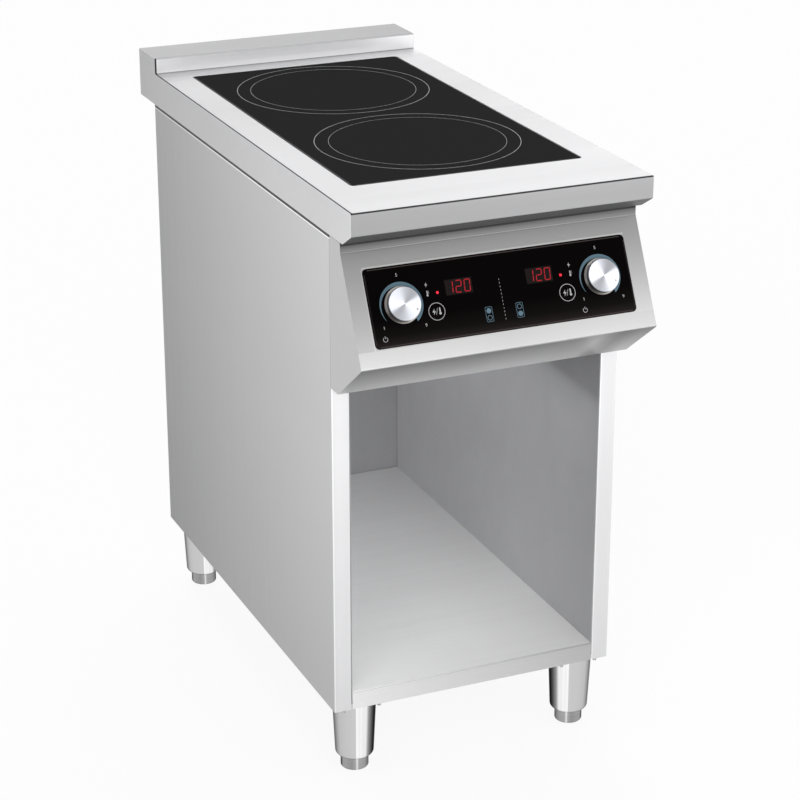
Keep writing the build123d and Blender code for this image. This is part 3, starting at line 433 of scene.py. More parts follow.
def geometry_tree(name, **inputs):
    """A Geometry Nodes tree with named inputs, those inputs, and the function that adds its nodes."""
    tree = bpy.data.node_groups.new(name, "GeometryNodeTree")
    for label, kind in {"Geometry": "Geometry", **inputs, "Material": "Material"}.items():
        tree.interface.new_socket(label.replace("_", " "), in_out="INPUT", socket_type="NodeSocket" + kind)
    tree.interface.new_socket("Geometry", in_out="OUTPUT", socket_type="NodeSocketGeometry")
    add = partial(add_node, tree)
    return tree, add, add("NodeGroupInput").outputs


def swept(add, path, section, **settings):
    """A section drawn along a path."""
    return add("GeometryNodeCurveToMesh", path, section, **settings).outputs[0]


def at_points(tree, add, given, shape, **turn):
    """Ends a tree: a copy of the shape at each point, made real, in the piece's material."""
    copies = add("GeometryNodeInstanceOnPoints", Points=given["Geometry"], Instance=shape, **turn)
    real = add("GeometryNodeRealizeInstances", copies.outputs[0])
    finish = add("GeometryNodeSetMaterial", Geometry=real.outputs[0], Material=given["Material"])
    add("NodeGroupOutput", finish.outputs[0])
    return tree


def grown(name, tree, points, material, **values):
    """Runs a tree on a set of points and keeps the result as a plain mesh object."""
    seeds = bpy.data.meshes.new(name)
    seeds.from_pydata(points, [], [])
    piece = placed(name, seeds)
    modifier = piece.modifiers.new("grown", "NODES")
    modifier.node_group = tree
    sockets = {s.name: s.identifier for s in tree.interface.items_tree if s.in_out == "INPUT"}
    for label, value in {"Material": material, **values}.items():
        modifier[sockets[label.replace("_", " ")]] = value
    piece.data = bpy.data.meshes.new_from_object(piece.evaluated_get(bpy.context.evaluated_depsgraph_get()))
    piece.modifiers.clear()
    piece.data.name = name
    return piece


def zone_ring_tree():
    """A flat printed ring round each point, swept from a thin rectangle."""
    tree, add, given = geometry_tree("zone_ring", Radius="Float", Line_Width="Float", Ink_Thickness="Float")
    path = add("GeometryNodeCurvePrimitiveCircle", Resolution=192, Radius=given["Radius"])
    line = add("GeometryNodeCurvePrimitiveQuadrilateral", Width=given["Line Width"], Height=given["Ink Thickness"])
    return at_points(tree, add, given, swept(add, path.outputs[0], line.outputs[0]))


ink = 0.06 * MM
zones = [Vector(m["pos_m"]) for m in record["mounts"] if m["name"].startswith("zone_")]
zone_points = [(z.x, z.y, hob_high.z + ink / 2) for z in zones]
ring_ink = printed("zone_ring_ink", (0.36, 0.365, 0.365))
for ring_name, ring_radius, line_width in (("outer", 132.5 * MM, 0.8 * MM), ("inner", 114.3 * MM, 0.5 * MM)):
    ring = grown(f"zone_rings_{ring_name}", zone_ring_tree(), zone_points, ring_ink,
                 Radius=ring_radius, Line_Width=line_width, Ink_Thickness=ink)
    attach(ring, "cabinet")


# -------------------------------------------------- seals
# Black silicone: the joint round the hob glass, run in by hand and wiped level, and the bed of the control
# glass. The lip seals round the two shafts are moulded rubber.
def fine_relief_group():
    """The fine pebbling and slight unevenness of colour of a moulded or cast surface."""
    group, add, given = effect_group("fine_relief", ("Color", "Roughness", "Height"), Body=grey(0.1),
                                     Pebbles=900.0, Tone_Spread=0.15, Roughness=0.5)
    place, pebble_share, gloss_spread = where(add), 0.5, 0.2
    pebbles = noise(add, place, given["Pebbles"], Detail=2.0)
    clouds = noise(add, place, 45.0, Detail=3.0)
    mixed = arithmetic(add, "MULTIPLY_ADD", pebbles, pebble_share, clouds)
    offset = arithmetic(add, "SUBTRACT", mixed, (1 + pebble_share) / 2)
    tone = arithmetic(add, "MULTIPLY_ADD", offset, given["Tone Spread"], 1.0)
    rough = arithmetic(add, "MULTIPLY_ADD", offset, gloss_spread, given["Roughness"])
    add("NodeGroupOutput", Color=tinted(add, given["Body"], tone), Roughness=rough, Height=pebbles)
    return group


fine_relief = fine_relief_group()


def moulded(name, body, roughness, pebbles=900.0, relief=0.3, tone=0.2, **constants):
    """Moulded, cast or sprayed material with a fine relief."""
    material, add = shading(name)
    surface = effect(add, fine_relief, Body=(*body, 1), Pebbles=pebbles, Tone_Spread=tone, Roughness=roughness)
    return principled(material, add, Base_Color=surface["Color"], Roughness=surface["Roughness"],
                      Normal=grooved(add, surface["Height"], relief, depth=0.05 * MM), **constants)


dress("silicone", moulded("black_silicone", (0.02, 0.02, 0.02), 0.42, pebbles=350.0))
dress("rubber", moulded("seal_rubber", (0.018, 0.018, 0.018), 0.6))


# -------------------------------------------------- cabinet
# Two outer skins, their liners, the back and the shelf are folded from 1 mm brushed stainless sheet. The skins
# and liners are cut with the grain upright, the shelf with the grain from side to side.
skin_low, skin_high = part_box("side_panel_left")
fascia_low, fascia_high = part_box("control_fascia")
skin_depth = (skin_low.y, skin_high.y)
line_low, line_high = top_low.z - 7.0 * MM, top_low.z - 5.4 * MM
bay_top = (fascia_low.z - 160 * MM, fascia_low.z + 20 * MM)
# Painted light and shade: the skins lighter towards the front and the top, the front posts lighter, a highlight on the
# upper fold.
panel_painted_shading = [
    zone(1.33, 0.72, y=skin_depth, axis=TO_REAR),
    zone(0.83, 1.18, z=(skin_low.z, skin_high.z)),
    zone(1.69, y=upto(skin_low.y + 1.0 * MM)),  # front posts, painted lighter
    zone(0.72, y=upto(skin_low.y + 2 * edge_line), z=past(fascia_low.z)),  # painted shade beside the fascia
    zone(1.9, z=(line_low, line_high)),  # painted highlight on the upper fold
    zone(0.05, z=past(line_high)),  # painted shade in the gap below the worktop
]
dress("panel_steel", brushed_steel("panel_satin_steel", SATIN, ALONG_Z, roughness=0.42, patches=panel_painted_shading))
# Painted light and shade: side walls lighter towards the rear, the bay darker towards its top.
liner_painted_shading = [
    *(zone(0.74, 1.42, y=skin_depth, axis=TO_REAR, facing=side, least=0.8) for side in (TO_RIGHT, TO_LEFT)),
    zone(0.77, 0.6, z=(skin_low.z, fascia_low.z), facing=TO_FRONT),  # back of the bay, painted shade deepening upwards
    # painted shade towards the top of the bay
    zone(1.0, 0.85, z=bay_top),
]
dress("liner_steel", brushed_steel("liner_matt_steel", (0.5, 0.5, 0.51), (420, 420, 260), roughness=0.5, tone=0.2,
                                   metallic=0.3, patches=liner_painted_shading))
shelf_low, shelf_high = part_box("bottom_shelf")
shelf_width, shelf_depth = (shelf_low.x, shelf_high.x), (shelf_low.y, shelf_high.y)
# Painted light and shade: the shelf lighter towards the left and the front.
shelf_painted_shading = [
    zone(1.36, 0.97, x=shelf_width, axis=TO_RIGHT, facing=UPWARDS),
    zone(1.03, 0.95, y=shelf_depth, axis=TO_REAR, facing=UPWARDS),
    zone(1.0, 0.54, x=shelf_width, axis=TO_RIGHT, facing=TO_FRONT),  # front edge, painted shade towards the right
    zone(0.7, y=upto(shelf_low.y + 2 * edge_line), facing=UP_FRONT, least=0.75),  # painted dark line on its fold
]
dress("shelf_steel", brushed_steel("shelf_satin_steel", (0.8, 0.8, 0.8), ALONG_X, roughness=0.4, metallic=0.3,
                                   patches=shelf_painted_shading))


def zinc_sheet(name, metal):
    """Hot-dip galvanised sheet: angular zinc crystals, each with its own tone and gloss."""
    material, add = shading(name)
    crystals = add("ShaderNodeTexVoronoi", Vector=where(add), Scale=110.0, Randomness=1.0)
    facet = add("ShaderNodeSeparateColor", crystals.outputs["Color"]).outputs
    tone = arithmetic(add, "MULTIPLY_ADD", facet[0], 0.22, 0.88)
    rough = arithmetic(add, "MULTIPLY_ADD", facet[1], 0.18, 0.36)
    return principled(material, add, Base_Color=tinted(add, metal, tone), Metallic=0.8, Roughness=rough)


dress("galvanised_steel", zinc_sheet("galvanised_sheet", (0.58, 0.6, 0.61)))


# -------------------------------------------------- legs and feet
# Each leg is a tapered stainless tube, polished lengthwise and closed in at its mouth. The foot that screws
# out of it is turned from solid bar, so its fine lines run round it.
def painted_reflection_group(name, stops):
    """Painted reflections: multiplies a colour by tones that follow the angle about an axis and repeat every half
    turn.
    """
    group, add, given = effect_group(name, ("Color",), Color=grey(0.5), Centre=(0, 0, 0), First=TO_RIGHT,
                                     Second=TO_REAR)
    arm = vector_math(add, "SUBTRACT", where(add), given["Centre"])
    reach = [vector_math(add, "DOT_PRODUCT", arm, given[side]) for side in ("Second", "First")]
    half_turns = arithmetic(add, "DIVIDE", arithmetic(add, "ARCTAN2", *reach), pi)
    ramp = add("ShaderNodeValToRGB", arithmetic(add, "FRACT", half_turns))
    bar = ramp.color_ramp.elements
    bar.remove(bar[1])
    for n, (place, tone) in enumerate(stops):
        stop = bar[0] if n == 0 else bar.new(place)
        stop.position, stop.color = place, grey(tone)
    add("NodeGroupOutput", Color=vector_math(add, "MULTIPLY", given["Color"], ramp.outputs[0]))
    return group


# Painted reflections: dark edges, grey and a bright streak round each leg and foot, turned towards the view.
leg_painted_reflections = painted_reflection_group("leg_painted_reflections", (
    (0.0, 0.18), (0.1, 0.33), (0.17, 0.42), (0.25, 0.54), (0.39, 0.58), (0.525, 0.6), (0.535, 1.0), (0.58, 0.9),
    (0.61, 0.97), (0.64, 0.88), (0.69, 0.9), (0.735, 0.34), (0.78, 0.18), (0.83, 0.08), (0.93, 0.02), (1.0, 0.16)))
foot_painted_reflections = painted_reflection_group("foot_painted_reflections", (
    (0.0, 0.03), (0.1, 0.06), (0.2, 0.4), (0.3, 0.36), (0.45, 0.3), (0.53, 0.4), (0.55, 0.75), (0.57, 0.75),
    (0.6, 0.4), (0.75, 0.36), (0.9, 0.22), (1.0, 0.03)))
reflection_azimuth = -23
bright_bar = dict(metal=(1, 1, 1), Specular_Tint=grey(0.35))
for corner in ("front_left", "front_right", "rear_left", "rear_right"):
    centre = sum(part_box(f"foot_{corner}"), Vector()) / 2
    hand = -1 if centre.x < 0 else 1
    about = dict(Centre=centre, First=direction(reflection_azimuth + 90 * hand), Second=direction(reflection_azimuth))
    coat(f"leg_{corner}", brushed_steel(
        f"polished_leg_{corner}", stretch=(95, 95, 1.5), roughness=0.16, metallic=1.0, relief=0.1,
        bands=dict(group=leg_painted_reflections, **about), **bright_bar))
    coat(f"foot_{corner}", brushed_steel(
        f"turned_foot_{corner}", stretch=(9, 9, 1600), roughness=0.3, tone=0.3, metallic=0.95, relief=0.3,
        bands=dict(group=foot_painted_reflections, **about), **bright_bar))


# -------------------------------------------------- control panel
# The fascia is folded from 1.2 mm stainless sheet, brushed from side to side, with welded ends. Its glass is
# black from behind, printed in white and blue-grey, and sits in a pressed seat.
brow_height, chin_height, fold, crease = 13.0 * MM, 56.0 * MM, 4.6 * MM, 1.5 * MM
seat_top, seat_side = 1.8 * MM, 1.5 * MM
pane_low, pane_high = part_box("control_glass")
slope_high, slope_low = fascia_high.z - brow_height, fascia_low.z + chin_height
below_glass = (slope_low, pane_low.z)
chin_painted_shading_steps = (
    (-1.0, 0.59), (-0.2, 0.79), (0.0, 0.87), (0.3, 0.86), (0.47, 0.83), (0.62, 0.82), (0.7, 0.52), (0.78, 0.36),
    (0.85, 0.42), (0.92, 0.5), (1.0, 0.53))
chin = dict(facing=DOWN_FRONT, least=0.6)
# Painted light and shade: each patch below paints a reflection gradient, shade or highlight into the fascia's colour.
fascia_painted_shading = [
    zone(1.2, 0.72, z=(slope_low, slope_high), facing=TO_FRONT),  # slope, painted lighter towards its foot
    zone(0.7, 0.12, z=(slope_high, fascia_high.z), facing=TO_FRONT),  # brow, painted shade deepening towards its top
    # painted shade along the crease and along the top fold
    zone(0.87, z=(slope_high - crease, slope_high + crease), facing=TO_FRONT),
    zone(0.45, z=past(fascia_high.z - fold), facing=TO_FRONT),
    zone(3.15, z=upto(slope_low), **chin),  # chin, painted lighter, then painted light and shade from left to right
    *(zone(tone, next_tone, x=(share * fascia_high.x, next_share * fascia_high.x), z=upto(slope_low), axis=TO_RIGHT,
           **chin)
      for (share, tone), (next_share, next_tone) in zip(chin_painted_shading_steps, chin_painted_shading_steps[1:])),
    zone(1.1, 0.43, z=(fascia_low.z, slope_low), **chin),
    # below the glass, painted lighter towards the left
    zone(1.22, 0.97, x=(fascia_low.x, 0), z=below_glass, axis=TO_RIGHT, facing=TO_FRONT),
    zone(0.97, 0.94, x=(0, fascia_high.x), z=below_glass, axis=TO_RIGHT, facing=TO_FRONT),
    zone(1.8, facing=TO_LEFT, least=0.8),  # ends, painted lighter
    zone(1.42, facing=TO_RIGHT, least=0.8),
    zone(1.5, x=(pane_low.x, pane_high.x), z=(pane_high.z, pane_high.z + seat_top), facing=TO_FRONT),  # painted highlight on the rim of the glass seat
    zone(1.25, x=(pane_low.x - seat_side, pane_low.x), z=(pane_low.z, pane_high.z), facing=TO_FRONT),
]
dress("fascia_steel", brushed_steel(
    "fascia_satin_steel", (0.36, 0.36, 0.36), ALONG_X, roughness=0.33, tone=0.015, relief=0.02, spread=0.03,
    patches=fascia_painted_shading, Specular_Tint=grey(0.55), Specular_IOR_Level=0.3))
bevel_inner, bevel_outer, pane_corner, pane_lean = 2.1 * MM, 1.0 * MM, 6.0 * MM, 1.8 * MM
pane_width = (pane_low.x + pane_corner, pane_high.x - pane_corner)
pane_rise = (pane_low.z + pane_corner, pane_high.z - pane_corner)
pane_foot, pale_foot, palest_foot = pane_low.z + pane_lean, 32 * MM, 14 * MM
# Painted reflections: the glass paler towards its foot, bright lines along its ground bevels.
pane_painted_reflections = [
    zone(0.6),
    zone(3.5, 1.0, z=(pane_low.z, pane_low.z + pale_foot)),
    zone(2.4, 1.0, z=(pane_low.z, pane_low.z + palest_foot)),
    zone(20.0, x=pane_width, z=(pane_high.z - bevel_inner, pane_high.z - bevel_outer)),  # painted highlights on the ground edges
    zone(3.0, x=pane_width, z=(pane_foot + bevel_outer, pane_foot + bevel_inner)),
    zone(3.0, 12.0, x=(pane_low.x + bevel_outer, pane_low.x + bevel_inner), z=pane_rise),
    zone(3.0, 12.0, x=(pane_high.x - bevel_inner, pane_high.x - bevel_outer), z=pane_rise),
]
dress("control_glass", black_glass("black_control_glass", (0.004, 0.0032, 0.0032), gloss=0.03, specular=0.004,
                                   patches=pane_painted_reflections))

knob_joints = {j["child"]: j for j in record["behaviour"]["joints"] if j["child"].startswith("knob_")}
knob_axis = Vector(knob_joints["knob_left"]["axis"])
out_of_panel, across = -knob_axis, Vector((1, 0, 0))
up_panel = out_of_panel.cross(across)
panel_centre = sum((Vector(j["pos_m"]) for j in knob_joints.values()), Vector()) / len(knob_joints)
knob_x = [Vector(j["pos_m"]).x / MM for j in knob_joints.values()]


def reach_out(node, centre):
    """How far a CAD node stands out of the panel from a point."""
    return max((nodes[node].matrix_world @ v.co - centre).dot(out_of_panel) for v in nodes[node].data.vertices)


glass_origin = panel_centre + out_of_panel * reach_out("control_glass", panel_centre)
panel_place = Matrix((across, up_panel, out_of_panel)).transposed().to_4x4()
panel_place.translation = glass_origin
panel_turn = tuple(panel_place.to_euler())


def round_outline(x, up, radius, start=0.0, sweep=360.0, steps=48):
    """Points on an arc; angles in degrees, clockwise from the top."""
    count = steps if abs(sweep) >= 360 else steps + 1
    turns = [radians(start + sweep * n / steps) for n in range(count)]
    return [(x + radius * sin(a), up + radius * cos(a)) for a in turns]


def inlay(name, shapes, thickness, material, lift=0.0):
    """Flat printed shapes as one closed mesh on the panel, in millimetres. A pair is an outer and an inner outline."""
    build = bmesh.new()

    def strip(first, second):
        for n, point in enumerate(first):
            m = (n + 1) % len(first)
            build.faces.new((point, first[m], second[m], second[n]))

    for shape in shapes:
        rims = shape if isinstance(shape, tuple) else (shape,)
        levels = [[[build.verts.new((x * MM, up * MM, height * MM)) for x, up in rim] for rim in rims]
                  for height in (lift, lift + thickness)]
        for lower, upper in zip(*levels):
            strip(lower, upper)
        for level in levels:
            if len(rims) == 1:
                build.faces.new(level[0])
            else:
                strip(*level)
    bmesh.ops.recalc_face_normals(build, faces=build.faces)
    mesh = bpy.data.meshes.new(name)
    build.to_mesh(mesh)
    build.free()
    mesh.transform(panel_place)
    mesh.materials.append(material)
    return placed(name, mesh)


def numeral(text, x, up):
    """A plain number in the built-in letter shape, as flat outlines on the panel, centred at a place."""
    words = bpy.data.curves.new(f"numeral_{text}", "FONT")
    words.body, words.size, words.extrude = text, numeral_size * MM, 0.02 * MM
    words.align_x, words.align_y = "CENTER", "CENTER"
    holder = placed("numeral_shape", words)
    mesh = bpy.data.meshes.new_from_object(holder.evaluated_get(bpy.context.evaluated_depsgraph_get()))
    bpy.data.objects.remove(holder)
    mesh.transform(panel_place @ Matrix.Translation((x * MM, up * MM, 0.03 * MM)))
    return mesh


def segment(x0, up0, x1, up1, width):
    """A straight stroke with square ends."""
    length = hypot(x1 - x0, up1 - up0)
    nx, nup = -(up1 - up0) / length * width / 2, (x1 - x0) / length * width / 2
    return [(x0 + nx, up0 + nup), (x1 + nx, up1 + nup), (x1 - nx, up1 - nup), (x0 - nx, up0 - nup)]


def rounded_frame(x, up, width, height, corner):
    """Outline of a rectangle with rounded corners."""
    points = []
    for turn, sx, sup in ((0, 1, 1), (90, 1, -1), (180, -1, -1), (270, -1, 1)):
        points += round_outline(x + sx * (width / 2 - corner), up + sup * (height / 2 - corner), corner, turn, 90, 8)
    return points


def bolt_sign(x, up, size):
    """The sign for power."""
    bolt = ((0.12, 0.5), (-0.3, -0.06), (-0.02, -0.06), (-0.12, -0.5), (0.3, 0.08), (0.02, 0.08))
    return [(x + px * size, up + pup * size) for px, pup in bolt]


def heat_sign(x, up, bulb, rise, width, height):
    """The sign for temperature: a thermometer's bulb and stem."""
    return [round_outline(x, up, bulb), rounded_frame(x, up + rise, width, height, width / 2 - 0.05)]


# Sizes of the print are in millimetres, from a point midway between the knobs.
print_thickness, print_shift, numeral_size = 0.05, -2.0, 4.2 * 1.35
dial_up, dial_outer, dial_start, dial_end, dial_slant, dial_steps = 0.3, 28.0, -127.0, 142.0, 7.0, 60
hairline, dial_widest, dial_growth = 0.25, 6.3, 1.75
numeral_places = (("5", 0, 36.5), ("1", -27, -24.5), ("9", 27, -28))
standby_x, standby_up, standby_outer, standby_inner, standby_arc = -28, -38.0, 3.1, 2.5, (32, 296, 28)
mode_x, bolt_up, bulb_up, tick_up, tick_pitch, mode_heat = 37.3, 20, 7.2, 9.4, 1.4, (1.25, 3.2, 1.3, 4.8)
key_reach, key_up, key_rings, slash_x, slash_up, key_heat = 45.5, -13.5, (10.8, 10.1), 1.3, 4.0, (1.6, 4.0, 1.7, 6.4)
zone_sign_share, zone_sign_up, ring_offset, ring_outer, ring_inner = 0.846, -26, 4.3, 3.2, 2.5
zone_frames = ((9.4, 18.6, 1.6), (8.4, 17.6, 1.1))
marks, tints, numerals = [], [], []
for x in knob_x:
    hand = 1 if x > 0 else -1
    # The dial scale widens clockwise from a hairline to its broad end.
    rim = round_outline(x, dial_up, dial_outer, dial_start, dial_end - dial_start, dial_steps)
    bore = []
    for n in range(dial_steps + 1):
        a = radians(dial_start + (dial_end - dial_slant - dial_start) * n / dial_steps)
        inner = dial_outer - hairline - dial_widest * min(1.0, dial_growth * n / dial_steps)
        bore.append((x + inner * sin(a), dial_up + inner * cos(a)))
    tints.append(rim + bore[::-1])
    numerals += [numeral(text, x + dx, up) for text, dx, up in numeral_places]
    # Standby sign below the low end of the scale.
    sign_x = x + standby_x
    marks.append(round_outline(sign_x, standby_up, standby_outer, *standby_arc)
                 + round_outline(sign_x, standby_up, standby_inner, *standby_arc)[::-1])
    marks.append(segment(sign_x, standby_up + 0.8, sign_x, standby_up + 4.2, 0.6))
    # Power and temperature signs beside the mode lamps.
    icon_x = x - hand * mode_x + print_shift
    marks += [bolt_sign(icon_x, bolt_up, 6.0), *heat_sign(icon_x, bulb_up, *mode_heat)]
    for up in (tick_up, tick_up + tick_pitch, tick_up + 2 * tick_pitch):
        marks.append(segment(icon_x + 1.3, up, icon_x + 2.5, up, 0.4))
    # Touch key that changes the mode: a ring round the same two signs.
    key_x = x - hand * key_reach + print_shift
    marks += [tuple(round_outline(key_x, key_up, radius) for radius in key_rings),
              bolt_sign(key_x - 3.6, key_up, 8.0),
              segment(key_x - slash_x, key_up - slash_up, key_x + slash_x, key_up + slash_up, 0.45),
              *heat_sign(key_x + 4.2, key_up - 2.7, *key_heat)]
    # Which zone the knob serves: two rings in a frame, its own one filled.
    zone_x, own = x - x * zone_sign_share + print_shift, -hand * ring_offset
    other = zone_sign_up - own
    tints += [tuple(rounded_frame(zone_x, zone_sign_up, *size) for size in zone_frames),
              round_outline(zone_x, zone_sign_up + own, ring_outer),
              (round_outline(zone_x, other, ring_outer), round_outline(zone_x, other, ring_inner))]

white_ink = printed("white_panel_ink", (0.39, 0.39, 0.4))
panel_marks = inlay("panel_marks", marks, print_thickness, white_ink)
panel_tints = inlay("panel_scales", tints, print_thickness, printed("blue_grey_panel_ink", (0.085, 0.15, 0.195)))
joined = bmesh.new()
for mesh in numerals:
    joined.from_mesh(mesh)
    bpy.data.meshes.remove(mesh)
bmesh.ops.remove_doubles(joined, verts=joined.verts, dist=0.002 * MM)
bmesh.ops.recalc_face_normals(joined, faces=joined.faces)
numeral_mesh = bpy.data.meshes.new("dial_numbers")
joined.to_mesh(numeral_mesh)
joined.free()
numeral_mesh.materials.append(white_ink)
dial_numbers = placed("dial_numbers", numeral_mesh)


def dash_tree():
    """A row of short dashes, as printed between the two halves of the panel."""
    tree, add, given = geometry_tree("dashed_line", Count="Int", Step="Vector", Dash="Vector", Turn="Vector")
    row = add("GeometryNodeMeshLine", Count=given["Count"], Offset=given["Step"])
    dash = add("GeometryNodeMeshCube", Size=given["Dash"])
    line = add("GeometryNodeInstanceOnPoints", Points=row.outputs[0], Instance=dash.outputs[0],
               Rotation=given["Turn"])
    return at_points(tree, add, given, line.outputs[0])


dash_count, dash_pitch, dash_up, dash_size = 12, 4.4 * MM, -34 * MM, Vector((0.38, 2.2, print_thickness)) * MM
dash_start = glass_origin + across * (print_shift * MM) + up_panel * dash_up + out_of_panel * (dash_size.z / 2)
panel_divider = grown("panel_divider", dash_tree(), [tuple(dash_start)], white_ink, Count=dash_count,
                      Step=tuple(up_panel * dash_pitch), Dash=tuple(dash_size), Turn=panel_turn)
for piece in (panel_marks, panel_tints, dial_numbers, panel_divider):
    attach(piece, "cabinet")


# -------------------------------------------------- displays
# Three-figure seven-segment displays show red through smoked windows in the print; a red lamp marks the mode.
# The unlit segments are just visible, as on the real thing.
def glowing(name, color, strength, base):
    """Red light-emitting epoxy behind glass, slightly uneven."""
    material, add = shading(name)
    level = uneven(add, noise(add, where(add), 900.0, Detail=1.0), 0.4)
    return principled(material, add, Emission_Color=tinted(add, color, level), Base_Color=tinted(add, base, level),
                      Roughness=0.3, Emission_Strength=strength, Specular_IOR_Level=0.03)


def seven_segments(x, up, width, height, stroke, lean):
    """The seven strokes of one figure, each with pointed ends, in the order a to g."""
    half, gap, t = height / 2, 0.22, stroke / 2
    strokes = []
    for kind, cx, cy in (("h", 0, half), ("v", width / 2, half / 2), ("v", width / 2, -half / 2), ("h", 0, -half),
                         ("v", -width / 2, -half / 2), ("v", -width / 2, half / 2), ("h", 0, 0)):
        reach = (width if kind == "h" else half) / 2 - gap
        bar = [(-reach, 0), (-reach + t, t), (reach - t, t), (reach, 0), (reach - t, -t), (-reach + t, -t)]
        if kind == "v":
            bar = [(b, a) for a, b in bar]
        strokes.append([(x + cx + a + lean * (cy + b), up + cy + b) for a, b in bar])
    return strokes


FIGURES = ("bc", "abged", "abcdef")  # the lit strokes of 1, 2 and 0
display_x, display_up, figure_pitch, lamp_x, lamp_up = 53.8, 13.0, 11.4, 82.5, 9.0
figure = dict(width=7.2, height=14.3, stroke=1.15, lean=0.07)
layer = 0.03
lit, unlit, windows, lamp_spots = [], [], [], []
for x in knob_x:
    side = 1 if x > 0 else -1
    middle = side * display_x + print_shift
    windows.append(rounded_frame(middle, display_up, 35.5, 19.0, 1.0))
    for place, letters in zip((-1, 0, 1), FIGURES):
        for letter, stroke in zip("abcdefg", seven_segments(middle + place * figure_pitch, display_up, **figure)):
            (lit if letter in letters else unlit).append(stroke)
    lamp_spots.append(round_outline(side * lamp_x + print_shift, lamp_up, 1.7, steps=24))
smoked_glass = black_glass("smoked_window_glass", (0.012, 0.0092, 0.0088), gloss=0.05, specular=0.02)
lit_red = glowing("lit_red_segment", (0.7, 0.018, 0.034), 0.5, (0.1, 0.01, 0.012))
# The unlit segments get a faint painted glow.
idle_red_faint_glow = glowing("idle_segment", (0.01, 0.003, 0.003), 0.15, (0.013, 0.009, 0.009))
lamp_red = glowing("red_lamp_lens", (0.85, 0.02, 0.05), 1.0, (0.4, 0.02, 0.03))
for name, shapes, finish, lift, slot in (
        ("display_windows", windows, smoked_glass, 0.0, "display"), ("display_figures", lit, lit_red, 0.04, "display"),
        ("display_idle_segments", unlit, idle_red_faint_glow, 0.04, "display"),
        ("mode_lamp_spots", lamp_spots, lamp_red, 0.02, "lamp")):
    piece = inlay(name, shapes, layer, finish, lift)
    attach(piece, "cabinet")
dress("display", glowing("display_epoxy", (0.3, 0.01, 0.015), 0.2, (0.04, 0.02, 0.02)))
dress("lamp", glowing("lamp_epoxy", (0.8, 0.03, 0.03), 0.4, (0.5, 0.05, 0.05)))


# -------------------------------------------------- knobs
# Turned aluminium caps on moulded cores. The face is finished on a lathe; its fine rings spread the light,
# and two bright and two dark wedges are also painted into its colour. A small dimple near the rim is
# the index; the foot's ring is plated.
# Painted highlights and shade: two bright and two dark wedges round the knob's axis.
face_painted_wedges = painted_reflection_group("face_painted_wedges", (
    (0.0, 0.63), (0.083, 0.52), (0.167, 0.45), (0.25, 0.41), (0.32, 0.42), (0.355, 0.52), (0.41, 0.82), (0.47, 0.95),
    (0.58, 0.98), (0.75, 0.94), (0.83, 0.88), (0.92, 0.78), (1.0, 0.63)))


def turned_aluminium(name, metal, centre, roughness, patches=()):
    """Lathe-turned aluminium: rings about the knob's axis, in relief, tone and the spread of highlights, with bright
    and dark wedges painted into its colour.
    """
    material, add = shading(name)
    around = vector_math(add, "CROSS_PRODUCT", vector_math(add, "SUBTRACT", where(add), centre), knob_axis)
    tangent = add("ShaderNodeVectorTransform", vector_math(add, "NORMALIZE", around), vector_type="VECTOR",
                  convert_from="OBJECT", convert_to="WORLD")
    rings = add("ShaderNodeTexNoise", noise_dimensions="1D", W=vector_math(add, "LENGTH", around), Scale=4200.0,
                Detail=3.0, Roughness=0.7).outputs[0]
    ring_spread = 0.12
    color = toned(add, tinted(add, metal, uneven(add, rings, ring_spread)), patches)
    wedges = effect(add, face_painted_wedges, Color=color, Centre=centre, First=up_panel, Second=across)
    rough = arithmetic(add, "MULTIPLY_ADD", rings, ring_spread, roughness)
    return principled(material, add, Base_Color=wedges[0], Metallic=1.0, Anisotropic=0.85, Roughness=rough,
                      Tangent=tangent.outputs[0], Normal=grooved(add, rings, strength=0.15, depth=0.01 * MM))


index_turn, index_reach, index_half = radians(120), 16.8 * MM, 0.9 * MM
towards_index = up_panel * cos(index_turn) + across * sin(index_turn)
# Painted shade on the side of the cap that faces left and down.
rim_painted_shade = zone(0.3, facing=-across - 0.5 * up_panel, least=0.25)
for side in ("left", "right"):
    centre = Vector(knob_joints[f"knob_{side}"]["pos_m"])
    index = centre + out_of_panel * reach_out(f"knob_cap_{side}", centre) + towards_index * index_reach
    x, y, z = ((at - index_half, at + index_half) for at in index)
    dimple = zone(0.3, x=x, y=y, z=z)
    coat(f"knob_cap_{side}", turned_aluminium(f"knob_cap_{side}_turned", (0.79, 0.807, 0.87), centre, 0.28,
                                              [rim_painted_shade, dimple]))
    coat(f"knob_core_{side}", turned_aluminium(f"knob_core_{side}_turned", (0.42, 0.39, 0.36), centre, 0.35))


# -------------------------------------------------- fasteners
# Zinc-plated pan-head screws with a cross recess hold the rear cover and the control panel. Hexagon screws and
# welded studs hold the legs and the worktop.
def plated(name, metal, roughness):
    """Bright zinc or nickel plating, slightly mottled."""
    return moulded(name, metal, roughness, pebbles=700.0, relief=0.12, tone=0.1, Metallic=0.95)


zinc_plate = plated("zinc_plate", (0.6, 0.6, 0.62), 0.3)
dress("fastener_steel", zinc_plate)


def solids_of(node):
    """Lowest and highest corner of each separate solid of a CAD node, from left to right, front to back."""
    shape = bmesh.new()
    shape.from_mesh(nodes[node].data)
    bmesh.ops.remove_doubles(shape, verts=shape.verts, dist=0.005 * MM)
    left, found = set(shape.verts), []
    while left:
        edge, group = [left.pop()], []
        while edge:
            vert = edge.pop()
            group.append(vert.co.copy())
            for link in vert.link_edges:
                other = link.other_vert(vert)
                if other in left:
                    left.remove(other)
                    edge.append(other)
        found.append(tuple(Vector(end(p[k] for p in group) for k in range(3)) for end in (min, max)))
    shape.free()
    return sorted(found, key=lambda corners: [round(part / MM) for part in corners[0]])


